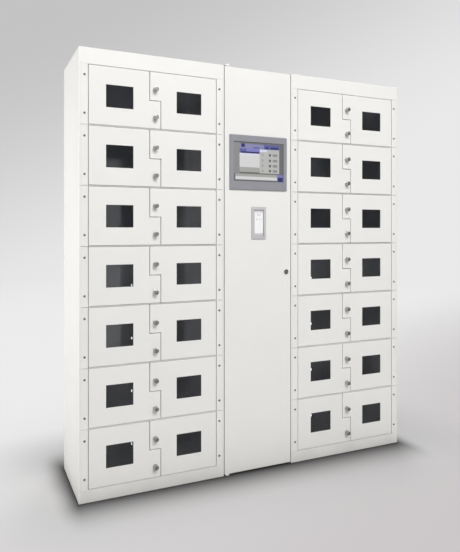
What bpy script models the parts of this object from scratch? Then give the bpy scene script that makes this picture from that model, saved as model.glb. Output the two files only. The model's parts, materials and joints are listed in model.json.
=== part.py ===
"""Phone charging kiosk: two banks of locker doors on either side of a control tower.

Metres, +Z up. The front looks towards -Y, and the origin is on the floor under the middle of the tower.
"""

import math

import bmesh
import bpy
from mathutils import Matrix

# Cabinets
HEIGHT = 1.900  # floor to the top of the cabinets
DEPTH = 0.415  # front plane to the rear edges
BANK_WIDTH = 0.653  # one locker bank
TOWER_WIDTH = 0.355  # the control tower between the banks
SHEET = 0.0015  # folded steel sheet
SEAT_GAP = 0.0003  # between pieces that touch
BACK_INSET = 0.004  # back panels inside the rear edges

# Locker rows
ROWS = 7
PLINTH = 0.052  # plain front strip under the rows
FASCIA = 0.068  # plain front strip above the rows
BANK_EDGE = 0.0075  # carcass edge that shows beside the row flanges
FLANGE = 0.0295  # flange of a row box, screwed to the carcass
STACK_GAP = 0.001  # between stacked row boxes
BOX_CLEARANCE = 0.0005  # between a row box and the carcass opening
WIRING_SPACE = 0.055  # behind the row boxes
DUCT_WIDTH = 0.044  # latch and wiring duct between the two compartments of a row
WELL_CLEARANCE = 0.002  # between the back of a closed door and the duct

# Charging outlets on the duct
OUTLET_WIDTH = 0.036
OUTLET_HEIGHT = 0.030
OUTLET_PROUD = 0.006
OUTLET_FROM_BACK = 0.075  # outlet centre to the back of the row box
OUTLET_RISE = 0.055  # outlet centre above the compartment floor

# Locker doors
DOOR_DEPTH = 0.018  # folded edge of the door pan
DOOR_GAP = 0.0015  # above and below a door
HINGE_GAP = 0.0025
SEAM_GAP = 0.0025  # between the two doors of a row
SEAM_SHIFT = 0.025  # each half of the Z seam to the centre line of the bank
STEP_DROP = 0.002  # step of the Z seam under the middle of the row
PIVOT_IN = 0.008  # pivot pin to the hinge edge
PIVOT_BACK = 0.005  # pivot pin to the door face
PIN_RADIUS = 0.0025
PIN_CLEARANCE = 0.0004
PIN_SIDES = 8
WINDOW_WIDTH = 0.117
WINDOW_HEIGHT = 0.096
WINDOW_INSET = 0.0725  # hinge edge to the window
PANE = 0.003
PANE_LAP = 0.008  # pane past the window on every side

# Door locks
LOCK_RADIUS = 0.0105
LOCK_REACH = 0.022  # barrel ahead of the door face
LOCK_CHAMFER = 0.002
LOCK_FACE_RADIUS = 0.0065  # key face sunk in the barrel
LOCK_FACE_DEPTH = 0.002
LOCK_RISE = 0.047  # lock above the lower edge of its tab
LOCK_STEPS = 12
STRIKE_WIDTH = 0.005
STRIKE_HEIGHT = 0.030
STRIKE_REACH = 0.010  # strike inside the duct
STRIKE_CLEARANCE = 0.003

# Tower door
TOWER_DOOR_DEPTH = 0.020
TOWER_DOOR_GAP = 0.003  # at each side
TOWER_DOOR_TOP = 0.004  # door top under the cabinet top
TOWER_DOOR_LIFT = 0.0065  # door bottom above the floor
TOWER_CLEARANCE = 0.0015  # between the door and the tower carcass
TOWER_PIVOT_IN = 0.014
TOWER_PIVOT_BACK = 0.006
TOWER_PIN_RADIUS = 0.003
TOWER_PIN_LENGTH = 0.012  # pin inside the door edge
TOWER_PIN_SIDES = 16
BRACKET_PLATE = 0.003
BRACKET_WIDTH = 0.018
BRACKET_LENGTH = 0.060
BRACKET_HEAD_RADIUS = 0.0055
BRACKET_HEAD = 0.006
BRACKET_LIP = 0.005  # bottom bracket ahead of the door face
STRIKE_RETURN = 0.014  # folded edge of the tower that the lock cam catches

# Touch panel
PANEL_WIDTH = 0.302
PANEL_HEIGHT = 0.257
PANEL_CENTRE = 1.454  # above the floor
PANEL_PROUD = 0.008
PANEL_ROUND = 0.003
SCREEN_WIDTH = 0.265
SCREEN_HEIGHT = 0.186
SCREEN_RISE = 0.005  # screen centre above the panel centre
SCREEN_LAP = 0.006  # screen behind the bezel on every side
SCREEN_THICK = 0.003
BEZEL_LIP = 0.0025
CASE_DEPTH = 0.052  # computer case behind the screen
CASE_INSET = 0.003  # case inside the rebate of the bezel
CASE_FINS = 9
CASE_FIN_HEIGHT = 0.008
CASE_FIN_WIDTH = 0.003

# Card reader
READER_WIDTH = 0.075
READER_HEIGHT = 0.151
READER_CENTRE = 1.171
READER_PROUD = 0.007
READER_ROUND = 0.003
READER_FACE_WIDTH = 0.052
READER_FACE_HEIGHT = 0.124
READER_FACE_SINK = 0.002
READER_DEPTH = 0.024
CUTOUT_CLEARANCE = 0.002  # round a piece that passes through the tower door

# Tower lock
TOWER_LOCK_HEIGHT = 0.935
TOWER_LOCK_FROM_EDGE = 0.028  # lock axis to the side of the tower
BARREL_RADIUS = 0.0095
BARREL_COLLAR_RADIUS = 0.012
BARREL_COLLAR = 0.004
PLUG_RADIUS = 0.006
PLUG_PROUD = 0.001
KEYWAY_WIDTH = 0.0015
KEYWAY_HEIGHT = 0.008
KEYWAY_DEPTH = 0.006
CAM_THICK = 0.003
CAM_WIDTH = 0.014
CAM_LENGTH = 0.022  # lock axis to the tip of the cam
CAM_CLEARANCE = 0.001  # between the cam and the folded edge
TURNED_STEPS = 24

# Back panels and power
VENT_COUNT = 7
VENT_WIDTH = 0.160
VENT_HEIGHT = 0.005
VENT_PITCH = 0.018
VENT_LOW = 0.180  # middle of the lower group above the floor
VENT_HIGH = 0.200  # middle of the upper group under the top
SUPPLY_WIDTH = 0.115
SUPPLY_HEIGHT = 0.215
SUPPLY_DEPTH = 0.050
SUPPLY_CENTRE = 0.520
SUPPLY_ROUND = 0.002
TERMINAL_HEIGHT = 0.018
TERMINAL_DEPTH = 0.022
INLET_WIDTH = 0.050
INLET_HEIGHT = 0.028
INLET_PLATE = 0.003
INLET_LAP = 0.004  # plate past the body on every side
INLET_DEPTH = 0.026
INLET_CENTRE = 0.060
SOCKET_WIDTH = 0.024
SOCKET_HEIGHT = 0.017
SOCKET_DEPTH = 0.018

# Tool overlap: how far a cutter runs past what it cuts, and how deep a joined piece sits in its carrier
OVER = 0.004
BITE = 0.0004
WELD = 1e-6

# Drawing
ROUND_SEGMENTS = 2
SHARP_ANGLE = math.radians(50)  # corners steeper than this stay sharp on round pieces
AXIS_SIZE = 0.05

# Sizes that follow
FRONT = -DEPTH / 2
BACK = DEPTH / 2
PITCH = (HEIGHT - PLINTH - FASCIA) / ROWS
ROW_HALF = (PITCH - STACK_GAP) / 2
INNER_HALF = ROW_HALF - SHEET
DOOR_HALF = INNER_HALF - DOOR_GAP
SIDE_IN = BANK_WIDTH / 2 - BANK_EDGE - FLANGE
SIDE_OUT = SIDE_IN + SHEET
BOX_DEPTH = DEPTH - WIRING_SPACE
WELL = DOOR_DEPTH + WELL_CLEARANCE
DUCT_HALF = DUCT_WIDTH / 2
PIVOT_X = SIDE_IN - HINGE_GAP - PIVOT_IN
STEP_Z = -STEP_DROP
LOWER_LOCK_Z = -DOOR_HALF + LOCK_RISE
UPPER_LOCK_Z = STEP_Z + SEAM_GAP / 2 + LOCK_RISE
BANK_X = (TOWER_WIDTH + BANK_WIDTH) / 2 + SEAT_GAP
TOWER_HALF = TOWER_WIDTH / 2
TOWER_FRONT = FRONT + TOWER_DOOR_DEPTH + TOWER_CLEARANCE
TOWER_PIVOT_X = -TOWER_HALF + TOWER_DOOR_GAP + TOWER_PIVOT_IN
TOWER_PIVOT_Y = FRONT + TOWER_PIVOT_BACK
TOWER_LOCK_X = TOWER_HALF - TOWER_LOCK_FROM_EDGE
BARREL_END = TOWER_FRONT + SHEET + CAM_CLEARANCE - SEAT_GAP
PANEL_FRONT = FRONT - PANEL_PROUD
SCREEN_FRONT = PANEL_FRONT + BEZEL_LIP + SEAT_GAP
CASE_FRONT = SCREEN_FRONT + SCREEN_THICK + SEAT_GAP
CASE_HALF_WIDTH = SCREEN_WIDTH / 2 + SCREEN_LAP - CASE_INSET
CASE_HALF_HEIGHT = SCREEN_HEIGHT / 2 + SCREEN_LAP - CASE_INSET
SCREEN_CENTRE = PANEL_CENTRE + SCREEN_RISE
PANEL_BACK_FACE = BACK - BACK_INSET - SHEET


def clear_scene():
    for obj in list(bpy.data.objects):
        bpy.data.objects.remove(obj, do_unlink=True)


def new_collection(name):
    collection = bpy.data.collections.new(name)
    bpy.context.scene.collection.children.link(collection)
    return collection


def new_material(name, colour, roughness, metallic=0.0):
    material = bpy.data.materials.new(name)
    material.use_nodes = True
    shader = material.node_tree.nodes["Principled BSDF"]
    shader.inputs["Base Color"].default_value = (*colour, 1.0)
    shader.inputs["Roughness"].default_value = roughness
    shader.inputs["Metallic"].default_value = metallic
    return material


def finished(shape, name):
    """The bmesh as a mesh with its faces pointing out."""
    bmesh.ops.recalc_face_normals(shape, faces=shape.faces)
    mesh = bpy.data.meshes.new(name)
    shape.to_mesh(mesh)
    shape.free()
    return mesh


def smooth(mesh):
    """The mesh with its round surfaces shaded smooth and its corners sharp."""
    mesh.shade_smooth()
    mesh.set_sharp_from_angle(angle=SHARP_ANGLE)
    return mesh


def boxes(name, *corners):
    """One mesh of separate boxes, each between its (low, high) corners."""
    shape = bmesh.new()
    for low, high in corners:
        size = [b - a for a, b in zip(low, high)]
        middle = [(a + b) / 2 for a, b in zip(low, high)]
        place = Matrix.Translation(middle) @ Matrix.Diagonal((*size, 1.0))
        bmesh.ops.create_cube(shape, size=1.0, matrix=place)
    return finished(shape, name)


def box(name, low, high):
    return boxes(name, (low, high))


def rounded_box(name, low, high, radius):
    """A box with its front edges and the four edges that run back from them rounded."""
    shape = bmesh.new()
    shape.from_mesh(box(name, low, high))
    edges = [e for e in shape.edges if min(v.co.y for v in e.verts) < low[1] + WELD]
    bmesh.ops.bevel(shape, geom=edges, offset=radius, segments=ROUND_SEGMENTS, profile=0.5, affect="EDGES")
    return finished(shape, name)


def upright_rods(name, radius, sides, *spans):
    """Upright cylinders, each given as (x, y, low, high)."""
    shape = bmesh.new()
    for x, y, low, high in spans:
        bmesh.ops.create_cone(
            shape,
            cap_ends=True,
            segments=sides,
            radius1=radius,
            radius2=radius,
            depth=high - low,
            matrix=Matrix.Translation((x, y, (low + high) / 2)),
        )
    return smooth(finished(shape, name))


def evaluated_mesh(obj, name):
    """The object's mesh with its modifiers, welded; the object is then removed."""
    bpy.context.view_layer.update()
    graph = bpy.context.evaluated_depsgraph_get()
    made = bpy.data.meshes.new_from_object(obj.evaluated_get(graph))
    bpy.data.objects.remove(obj, do_unlink=True)
    shape = bmesh.new()
    shape.from_mesh(made)
    bpy.data.meshes.remove(made)
    bmesh.ops.remove_doubles(shape, verts=shape.verts, dist=WELD)
    return finished(shape, name)


def plate(name, outline, front, back):
    """A flat outline of (x, z) points, filled and given its thickness along Y."""
    curve = bpy.data.curves.new(name, "CURVE")
    curve.dimensions = "2D"
    curve.fill_mode = "BOTH"
    curve.extrude = (back - front) / 2
    spline = curve.splines.new("POLY")
    spline.points.add(len(outline) - 1)
    for point, (x, z) in zip(spline.points, outline):
        point.co = (x, z, 0.0, 1.0)
    spline.use_cyclic_u = True
    guide = bpy.data.objects.new(name, curve)
    CUTTERS.objects.link(guide)
    mesh = evaluated_mesh(guide, name)
    mesh.transform(Matrix.Translation((0, (front + back) / 2, 0)) @ Matrix.Rotation(math.pi / 2, 4, "X"))
    return mesh


def turned(name, profile, steps, x=0.0, z=0.0, closed=False):
    """A profile of (radius, y) points turned about an axis along Y through (x, z)."""
    mesh = bpy.data.meshes.new(name)
    count = len(profile)
    edges = [(i, i + 1) for i in range(count - 1)]
    if closed:
        edges.append((count - 1, 0))
    mesh.from_pydata([(radius, 0.0, -y) for radius, y in profile], edges, [])
    guide = bpy.data.objects.new(name, mesh)
    CUTTERS.objects.link(guide)
    screw = guide.modifiers.new("Turn", "SCREW")
    screw.steps = steps
    screw.render_steps = steps
    screw.use_merge_vertices = True
    screw.merge_threshold = WELD
    mesh = evaluated_mesh(guide, name)
    mesh.transform(Matrix.Translation((x, 0, z)) @ Matrix.Rotation(math.pi / 2, 4, "X"))
    return smooth(mesh)


def add_part(name, mesh, material, location=(0, 0, 0)):
    part = bpy.data.objects.new(name, mesh)
    part.location = location
    KIOSK.objects.link(part)
    if not mesh.materials:
        mesh.materials.append(material)
    return part


def combine(part, operation, *tools):
    """Boolean modifiers that cut each tool mesh from the part, or join it on, in the part's own frame."""
    for mesh in tools:
        tool = bpy.data.objects.new(mesh.name, mesh)
        tool.location = part.location
        tool.hide_render = True
        tool.display_type = "WIRE"
        CUTTERS.objects.link(tool)
        modifier = part.modifiers.new(mesh.name, "BOOLEAN")
        modifier.operation = operation
        modifier.solver = "EXACT"
        modifier.object = tool


def cut(part, *tools):
    combine(part, "DIFFERENCE", *tools)


def join(part, *tools):
    combine(part, "UNION", *tools)


def shared_mesh(part, mirrored=False):
    """The finished mesh of a pattern piece, for its copies to share; the pattern piece is removed."""
    tools = [modifier.object for modifier in part.modifiers]
    material = part.data.materials[0]
    mesh = evaluated_mesh(part, part.name)
    for tool in tools:
        bpy.data.objects.remove(tool, do_unlink=True)
    if mirrored:
        mesh.transform(Matrix.Scale(-1, 4, (1, 0, 0)))
        mesh.flip_normals()
    mesh.materials.clear()
    mesh.materials.append(material)
    return mesh


def joint_axis(name, location):
    """An empty on a joint's axis."""
    axis = bpy.data.objects.new(name, None)
    axis.location = location
    axis.empty_display_size = AXIS_SIZE
    KIOSK.objects.link(axis)
    return axis


def hang(part, axis):
    """Parents a part to an axis and leaves it where it is."""
    part.parent = axis
    part.matrix_parent_inverse = Matrix.Translation(axis.location).inverted()


def row_middle(row):
    return HEIGHT - FASCIA - (row + 0.5) * PITCH


def bank_carcass(name, x, material):
    """Folded cabinet, open at the back, with a sunk seat for the row flanges round its front opening."""
    half = BANK_WIDTH / 2
    seat = FRONT + SHEET + SEAT_GAP
    top = HEIGHT - FASCIA
    carcass = add_part(name, box(name, (-half, FRONT, 0), (half, BACK, HEIGHT)), material, (x, 0, 0))
    inside = box(
        "bank_inside",
        (-half + SHEET, seat + SHEET, SHEET),
        (half - SHEET, BACK + OVER, HEIGHT - SHEET),
    )
    opening_half = SIDE_OUT + BOX_CLEARANCE
    opening = box(
        "bank_opening",
        (-opening_half, FRONT - OVER, PLINTH),
        (opening_half, seat + SHEET + OVER, top),
    )
    seat_half = half - BANK_EDGE
    flange_seat = box("flange_seat", (-seat_half, FRONT - OVER, PLINTH), (seat_half, seat, top))
    cut(carcass, inside, opening, flange_seat)
    return carcass


def tower_carcass(material):
    """Narrow cabinet behind the tower door, with one folded edge for the lock cam."""
    name = "tower_carcass"
    shell = box(name, (-TOWER_HALF, TOWER_FRONT, 0), (TOWER_HALF, BACK, HEIGHT))
    carcass = add_part(name, shell, material)
    inside = box(
        "tower_inside",
        (-TOWER_HALF + SHEET, TOWER_FRONT + SHEET, SHEET),
        (TOWER_HALF - SHEET, BACK + OVER, HEIGHT - SHEET),
    )
    opening = box(
        "tower_opening",
        (-TOWER_HALF + SHEET, TOWER_FRONT - OVER, SHEET),
        (TOWER_HALF - STRIKE_RETURN, TOWER_FRONT + SHEET + OVER, HEIGHT - SHEET),
    )
    cut(carcass, inside, opening)
    return carcass


def back_panel(name, x, width, material):
    """Sheet between the rear edges of a cabinet, with a low and a high group of vents."""
    half = width / 2 - SHEET - SEAT_GAP
    edge = SHEET + SEAT_GAP
    low = (-half, PANEL_BACK_FACE, edge)
    high = (half, PANEL_BACK_FACE + SHEET, HEIGHT - edge)
    panel = add_part(name, box(name, low, high), material, (x, 0, 0))
    vents = []
    for middle in (VENT_LOW, HEIGHT - VENT_HIGH):
        for index in range(VENT_COUNT):
            z = middle + (index - (VENT_COUNT - 1) / 2) * VENT_PITCH
            vents.append(
                (
                    (-VENT_WIDTH / 2, PANEL_BACK_FACE - OVER, z - VENT_HEIGHT / 2),
                    (VENT_WIDTH / 2, PANEL_BACK_FACE + SHEET + OVER, z + VENT_HEIGHT / 2),
                )
            )
    cut(panel, boxes("vents", *vents))
    return panel


def row_box(material):
    """Pattern for one row: two compartments, the duct between them and the flanges at the front.

    Its frame is at the front plane, on the centre line of the bank and at the middle of the row.
    """
    core = box("row_box", (-SIDE_OUT, 0, -ROW_HALF), (SIDE_OUT, BOX_DEPTH, ROW_HALF))
    row = add_part("row_box", core, material)
    flange_half = BANK_WIDTH / 2 - BANK_EDGE - SEAT_GAP
    join(row, box("flanges", (-flange_half, 0, -ROW_HALF), (flange_half, SHEET, ROW_HALF)))
    cut(row, box("door_well", (-SIDE_IN, -OVER, -INNER_HALF), (SIDE_IN, WELL, INNER_HALF)))
    floor = BOX_DEPTH - SHEET
    cut(
        row,
        boxes(
            "compartments",
            ((-SIDE_IN, WELL - OVER, -INNER_HALF), (-DUCT_HALF, floor, INNER_HALF)),
            ((DUCT_HALF, WELL - OVER, -INNER_HALF), (SIDE_IN, floor, INNER_HALF)),
        ),
    )
    duct_in = DUCT_HALF - SHEET
    cut(row, box("duct", (-duct_in, WELL + SHEET, -INNER_HALF), (duct_in, BOX_DEPTH + OVER, INNER_HALF)))
    slot_half = STRIKE_WIDTH / 2 + STRIKE_CLEARANCE
    slot_rise = STRIKE_HEIGHT / 2 + STRIKE_CLEARANCE
    slots = [
        ((-slot_half, WELL - OVER, z - slot_rise), (slot_half, WELL + SHEET + OVER, z + slot_rise))
        for z in (LOWER_LOCK_Z, UPPER_LOCK_Z)
    ]
    cut(row, boxes("strike_slots", *slots))
    holes = []
    for wall in (-INNER_HALF - SHEET / 2, INNER_HALF + SHEET / 2):
        for x in (-PIVOT_X, PIVOT_X):
            holes.append((x, PIVOT_BACK, wall - OVER, wall + OVER))
    cut(row, upright_rods("pivot_holes", PIN_RADIUS + PIN_CLEARANCE, PIN_SIDES, *holes))
    outlet_y = BOX_DEPTH - OUTLET_FROM_BACK
    outlet_z = -INNER_HALF + OUTLET_RISE
    outlets = []
    for x in (-DUCT_HALF - (OUTLET_PROUD - BITE) / 2, DUCT_HALF + (OUTLET_PROUD - BITE) / 2):
        half = ((OUTLET_PROUD + BITE) / 2, OUTLET_WIDTH / 2, OUTLET_HEIGHT / 2)
        middle = (x, outlet_y, outlet_z)
        low = [a - b for a, b in zip(middle, half)]
        high = [a + b for a, b in zip(middle, half)]
        outlets.append((low, high))
    join(row, boxes("outlets", *outlets))
    return shared_mesh(row)


def door_outline(tab_below, inset):
    """Outline of a left door about its pivot: a long half with the lock tab, and a short half."""
    reach = PIVOT_X - SEAM_GAP / 2 - inset
    long_edge = reach + SEAM_SHIFT
    short_edge = reach - SEAM_SHIFT
    hinge_edge = -PIVOT_IN + inset
    half = DOOR_HALF - inset
    if tab_below:
        step = STEP_Z - SEAM_GAP / 2 - inset
        low_edge, high_edge = long_edge, short_edge
    else:
        step = STEP_Z + SEAM_GAP / 2 + inset
        low_edge, high_edge = short_edge, long_edge
    return [
        (hinge_edge, -half),
        (low_edge, -half),
        (low_edge, step),
        (high_edge, step),
        (high_edge, half),
        (hinge_edge, half),
    ]


def locker_door(name, tab_below, material):
    """Pattern for a door: folded pan, pane behind its window, lock barrel, strike and pivot pins.

    It is drawn as a left door about its pivot axis. The door with its tab above is the right one, mirrored.
    """
    face = -PIVOT_BACK
    rear = face + DOOR_DEPTH
    inner = face + SHEET
    lock_z = LOWER_LOCK_Z if tab_below else UPPER_LOCK_Z
    door = add_part(name, plate(name, door_outline(tab_below, 0.0), face, rear), material)
    cut(door, plate("pan", door_outline(tab_below, SHEET), inner, rear + OVER))
    window_low = -PIVOT_IN + WINDOW_INSET
    window_high = window_low + WINDOW_WIDTH
    window_half = WINDOW_HEIGHT / 2
    window = box(
        "window",
        (window_low, face - OVER, -window_half),
        (window_high, inner + OVER, window_half),
    )
    cut(door, window)
    pane = box(
        "pane",
        (window_low - PANE_LAP, inner - BITE, -window_half - PANE_LAP),
        (window_high + PANE_LAP, inner + PANE, window_half + PANE_LAP),
    )
    barrel = turned(
        "lock_barrel",
        [
            (0, face - LOCK_REACH + LOCK_FACE_DEPTH),
            (LOCK_FACE_RADIUS, face - LOCK_REACH + LOCK_FACE_DEPTH),
            (LOCK_FACE_RADIUS, face - LOCK_REACH),
            (LOCK_RADIUS - LOCK_CHAMFER, face - LOCK_REACH),
            (LOCK_RADIUS, face - LOCK_REACH + LOCK_CHAMFER),
            (LOCK_RADIUS, face + BITE),
            (0, face + BITE),
        ],
        LOCK_STEPS,
        PIVOT_X,
        lock_z,
    )
    strike = box(
        "strike",
        (PIVOT_X - STRIKE_WIDTH / 2, inner - BITE, lock_z - STRIKE_HEIGHT / 2),
        (PIVOT_X + STRIKE_WIDTH / 2, face + WELL + SHEET + STRIKE_REACH, lock_z + STRIKE_HEIGHT / 2),
    )
    tip = INNER_HALF + SHEET - SEAT_GAP
    root = DOOR_HALF - SHEET / 2
    pins = upright_rods("pivot_pins", PIN_RADIUS, PIN_SIDES, (0, 0, -tip, -root), (0, 0, root, tip))
    join(door, pane, barrel, strike, pins)
    return shared_mesh(door, mirrored=not tab_below)


def tower_door(material):
    """Full-height pan with cut-outs for the touch panel, the card reader and the lock."""
    name = "tower_door"
    low_z = TOWER_DOOR_LIFT
    high_z = HEIGHT - TOWER_DOOR_TOP
    half = TOWER_HALF - TOWER_DOOR_GAP
    rear = FRONT + TOWER_DOOR_DEPTH
    inner = FRONT + SHEET
    door = add_part(name, box(name, (-half, FRONT, low_z), (half, rear, high_z)), material)
    pan = box(
        "tower_pan",
        (-half + SHEET, inner, low_z + SHEET),
        (half - SHEET, rear + OVER, high_z - SHEET),
    )
    case_half = CASE_HALF_WIDTH + CUTOUT_CLEARANCE
    case_rise = CASE_HALF_HEIGHT + CUTOUT_CLEARANCE
    reader_half = READER_FACE_WIDTH / 2 + CUTOUT_CLEARANCE
    reader_rise = READER_FACE_HEIGHT / 2 + CUTOUT_CLEARANCE
    cutouts = boxes(
        "cutouts",
        (
            (-case_half, FRONT - OVER, SCREEN_CENTRE - case_rise),
            (case_half, inner + OVER, SCREEN_CENTRE + case_rise),
        ),
        (
            (-reader_half, FRONT - OVER, READER_CENTRE - reader_rise),
            (reader_half, inner + OVER, READER_CENTRE + reader_rise),
        ),
    )
    hole = BARREL_RADIUS + SEAT_GAP
    lock_hole = turned(
        "lock_hole",
        [(0, FRONT - OVER), (hole, FRONT - OVER), (hole, inner + OVER), (0, inner + OVER)],
        TURNED_STEPS,
        TOWER_LOCK_X,
        TOWER_LOCK_HEIGHT,
    )
    pivot_holes = upright_rods(
        "tower_pivot_holes",
        TOWER_PIN_RADIUS + PIN_CLEARANCE,
        TOWER_PIN_SIDES,
        (TOWER_PIVOT_X, TOWER_PIVOT_Y, low_z - OVER, low_z + SHEET + OVER),
        (TOWER_PIVOT_X, TOWER_PIVOT_Y, high_z - SHEET - OVER, high_z + OVER),
    )
    cut(door, pan, cutouts, lock_hole, pivot_holes)
    return door


def tower_pivots(material):
    """Brackets over and under the tower door, each with its pivot pin."""
    half = BRACKET_WIDTH / 2
    top_low = HEIGHT + SEAT_GAP
    top_high = top_low + BRACKET_PLATE
    top = add_part(
        "tower_top_pivot",
        box(
            "tower_top_pivot",
            (TOWER_PIVOT_X - half, FRONT, top_low),
            (TOWER_PIVOT_X + half, FRONT + BRACKET_LENGTH, top_high),
        ),
        material,
    )
    pin_tip = HEIGHT - TOWER_DOOR_TOP - TOWER_PIN_LENGTH
    spot = (TOWER_PIVOT_X, TOWER_PIVOT_Y)
    in_plate = top_low + BRACKET_PLATE / 2
    pin = upright_rods("top_pin", TOWER_PIN_RADIUS, TOWER_PIN_SIDES, (*spot, pin_tip, in_plate))
    head_span = (*spot, in_plate, top_high + BRACKET_HEAD)
    head = upright_rods("top_pin_head", BRACKET_HEAD_RADIUS, TOWER_PIN_SIDES, head_span)
    join(top, pin, head)
    low = SHEET + SEAT_GAP
    high = low + BRACKET_PLATE
    bottom = add_part(
        "tower_bottom_pivot",
        box(
            "tower_bottom_pivot",
            (TOWER_PIVOT_X - half, FRONT - BRACKET_LIP, low),
            (TOWER_PIVOT_X + half, FRONT + BRACKET_LENGTH, high),
        ),
        material,
    )
    in_plate = low + BRACKET_PLATE / 2
    pin_span = (*spot, in_plate, TOWER_DOOR_LIFT + TOWER_PIN_LENGTH)
    pin = upright_rods("bottom_pin", TOWER_PIN_RADIUS, TOWER_PIN_SIDES, pin_span)
    collar_span = (*spot, in_plate, TOWER_DOOR_LIFT - SEAT_GAP)
    collar = upright_rods("bottom_collar", BRACKET_HEAD_RADIUS, TOWER_PIN_SIDES, collar_span)
    join(bottom, pin, collar)


def touch_panel(bezel_material, screen_material, case_material):
    """Bezel on the tower door, screen in its rebate, and the computer case that passes through the door."""
    half = PANEL_WIDTH / 2
    rise = PANEL_HEIGHT / 2
    bezel = add_part(
        "touch_panel_bezel",
        rounded_box(
            "touch_panel_bezel",
            (-half, PANEL_FRONT, PANEL_CENTRE - rise),
            (half, FRONT - SEAT_GAP, PANEL_CENTRE + rise),
            PANEL_ROUND,
        ),
        bezel_material,
    )
    screen_half = SCREEN_WIDTH / 2
    screen_rise = SCREEN_HEIGHT / 2
    window = box(
        "screen_window",
        (-screen_half, PANEL_FRONT - OVER, SCREEN_CENTRE - screen_rise),
        (screen_half, FRONT + OVER, SCREEN_CENTRE + screen_rise),
    )
    lap_half = screen_half + SCREEN_LAP
    lap_rise = screen_rise + SCREEN_LAP
    rebate = box(
        "screen_rebate",
        (-lap_half, PANEL_FRONT + BEZEL_LIP, SCREEN_CENTRE - lap_rise),
        (lap_half, FRONT + OVER, SCREEN_CENTRE + lap_rise),
    )
    cut(bezel, window, rebate)
    screen = add_part(
        "touch_panel_screen",
        box(
            "touch_panel_screen",
            (-lap_half + SEAT_GAP, SCREEN_FRONT, SCREEN_CENTRE - lap_rise + SEAT_GAP),
            (lap_half - SEAT_GAP, SCREEN_FRONT + SCREEN_THICK, SCREEN_CENTRE + lap_rise - SEAT_GAP),
        ),
        screen_material,
    )
    case_back = CASE_FRONT + CASE_DEPTH
    case = add_part(
        "touch_panel_case",
        box(
            "touch_panel_case",
            (-CASE_HALF_WIDTH, CASE_FRONT, SCREEN_CENTRE - CASE_HALF_HEIGHT),
            (CASE_HALF_WIDTH, case_back, SCREEN_CENTRE + CASE_HALF_HEIGHT),
        ),
        case_material,
    )
    fin_pitch = 2 * CASE_HALF_WIDTH / CASE_FINS
    gap_half = (fin_pitch - CASE_FIN_WIDTH) / 2
    gaps = []
    for index in range(CASE_FINS):
        x = -CASE_HALF_WIDTH + (index + 0.5) * fin_pitch
        gaps.append(
            (
                (x - gap_half, case_back - CASE_FIN_HEIGHT, SCREEN_CENTRE - CASE_HALF_HEIGHT - OVER),
                (x + gap_half, case_back + OVER, SCREEN_CENTRE + CASE_HALF_HEIGHT + OVER),
            )
        )
    cut(case, boxes("case_fin_gaps", *gaps))
    return bezel, screen, case


def card_reader(frame_material, face_material):
    """Frame on the tower door and the reader block that passes through it."""
    half = READER_WIDTH / 2
    rise = READER_HEIGHT / 2
    reader_front = FRONT - READER_PROUD
    frame = add_part(
        "card_reader_frame",
        rounded_box(
            "card_reader_frame",
            (-half, reader_front, READER_CENTRE - rise),
            (half, FRONT - SEAT_GAP, READER_CENTRE + rise),
            READER_ROUND,
        ),
        frame_material,
    )
    face_half = READER_FACE_WIDTH / 2
    face_rise = READER_FACE_HEIGHT / 2
    window = box(
        "reader_window",
        (-face_half, reader_front - OVER, READER_CENTRE - face_rise),
        (face_half, FRONT + OVER, READER_CENTRE + face_rise),
    )
    cut(frame, window)
    face = add_part(
        "card_reader_face",
        box(
            "card_reader_face",
            (-face_half + SEAT_GAP, reader_front + READER_FACE_SINK, READER_CENTRE - face_rise + SEAT_GAP),
            (face_half - SEAT_GAP, reader_front + READER_DEPTH, READER_CENTRE + face_rise - SEAT_GAP),
        ),
        face_material,
    )
    return frame, face


def tower_lock(barrel_material, plug_material):
    """Lock barrel in the tower door, and its turning plug with the cam hanging down, unlocked."""
    collar_front = FRONT - BARREL_COLLAR
    bore = PLUG_RADIUS + SEAT_GAP
    barrel_mesh = turned(
        "tower_lock_barrel",
        [
            (bore, collar_front),
            (BARREL_COLLAR_RADIUS, collar_front),
            (BARREL_COLLAR_RADIUS, FRONT - SEAT_GAP),
            (BARREL_RADIUS, FRONT - SEAT_GAP),
            (BARREL_RADIUS, BARREL_END),
            (bore, BARREL_END),
        ],
        TURNED_STEPS,
        TOWER_LOCK_X,
        TOWER_LOCK_HEIGHT,
        closed=True,
    )
    barrel = add_part("tower_lock_barrel", barrel_mesh, barrel_material)
    plug_front = collar_front - PLUG_PROUD
    cam_front = BARREL_END + SEAT_GAP
    plug_back = cam_front + BITE
    profile = [(0, plug_front), (PLUG_RADIUS, plug_front), (PLUG_RADIUS, plug_back), (0, plug_back)]
    plug_mesh = turned("tower_lock_plug", profile, TURNED_STEPS)
    plug = add_part("tower_lock_plug", plug_mesh, plug_material, (TOWER_LOCK_X, 0, TOWER_LOCK_HEIGHT))
    keyway = box(
        "keyway",
        (-KEYWAY_WIDTH / 2, plug_front - OVER, -KEYWAY_HEIGHT / 2),
        (KEYWAY_WIDTH / 2, plug_front + KEYWAY_DEPTH, KEYWAY_HEIGHT / 2),
    )
    cam = box(
        "cam",
        (-CAM_WIDTH / 2, cam_front, -CAM_LENGTH),
        (CAM_WIDTH / 2, cam_front + CAM_THICK, CAM_WIDTH / 2),
    )
    cut(plug, keyway)
    join(plug, cam)
    return barrel, plug


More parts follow.
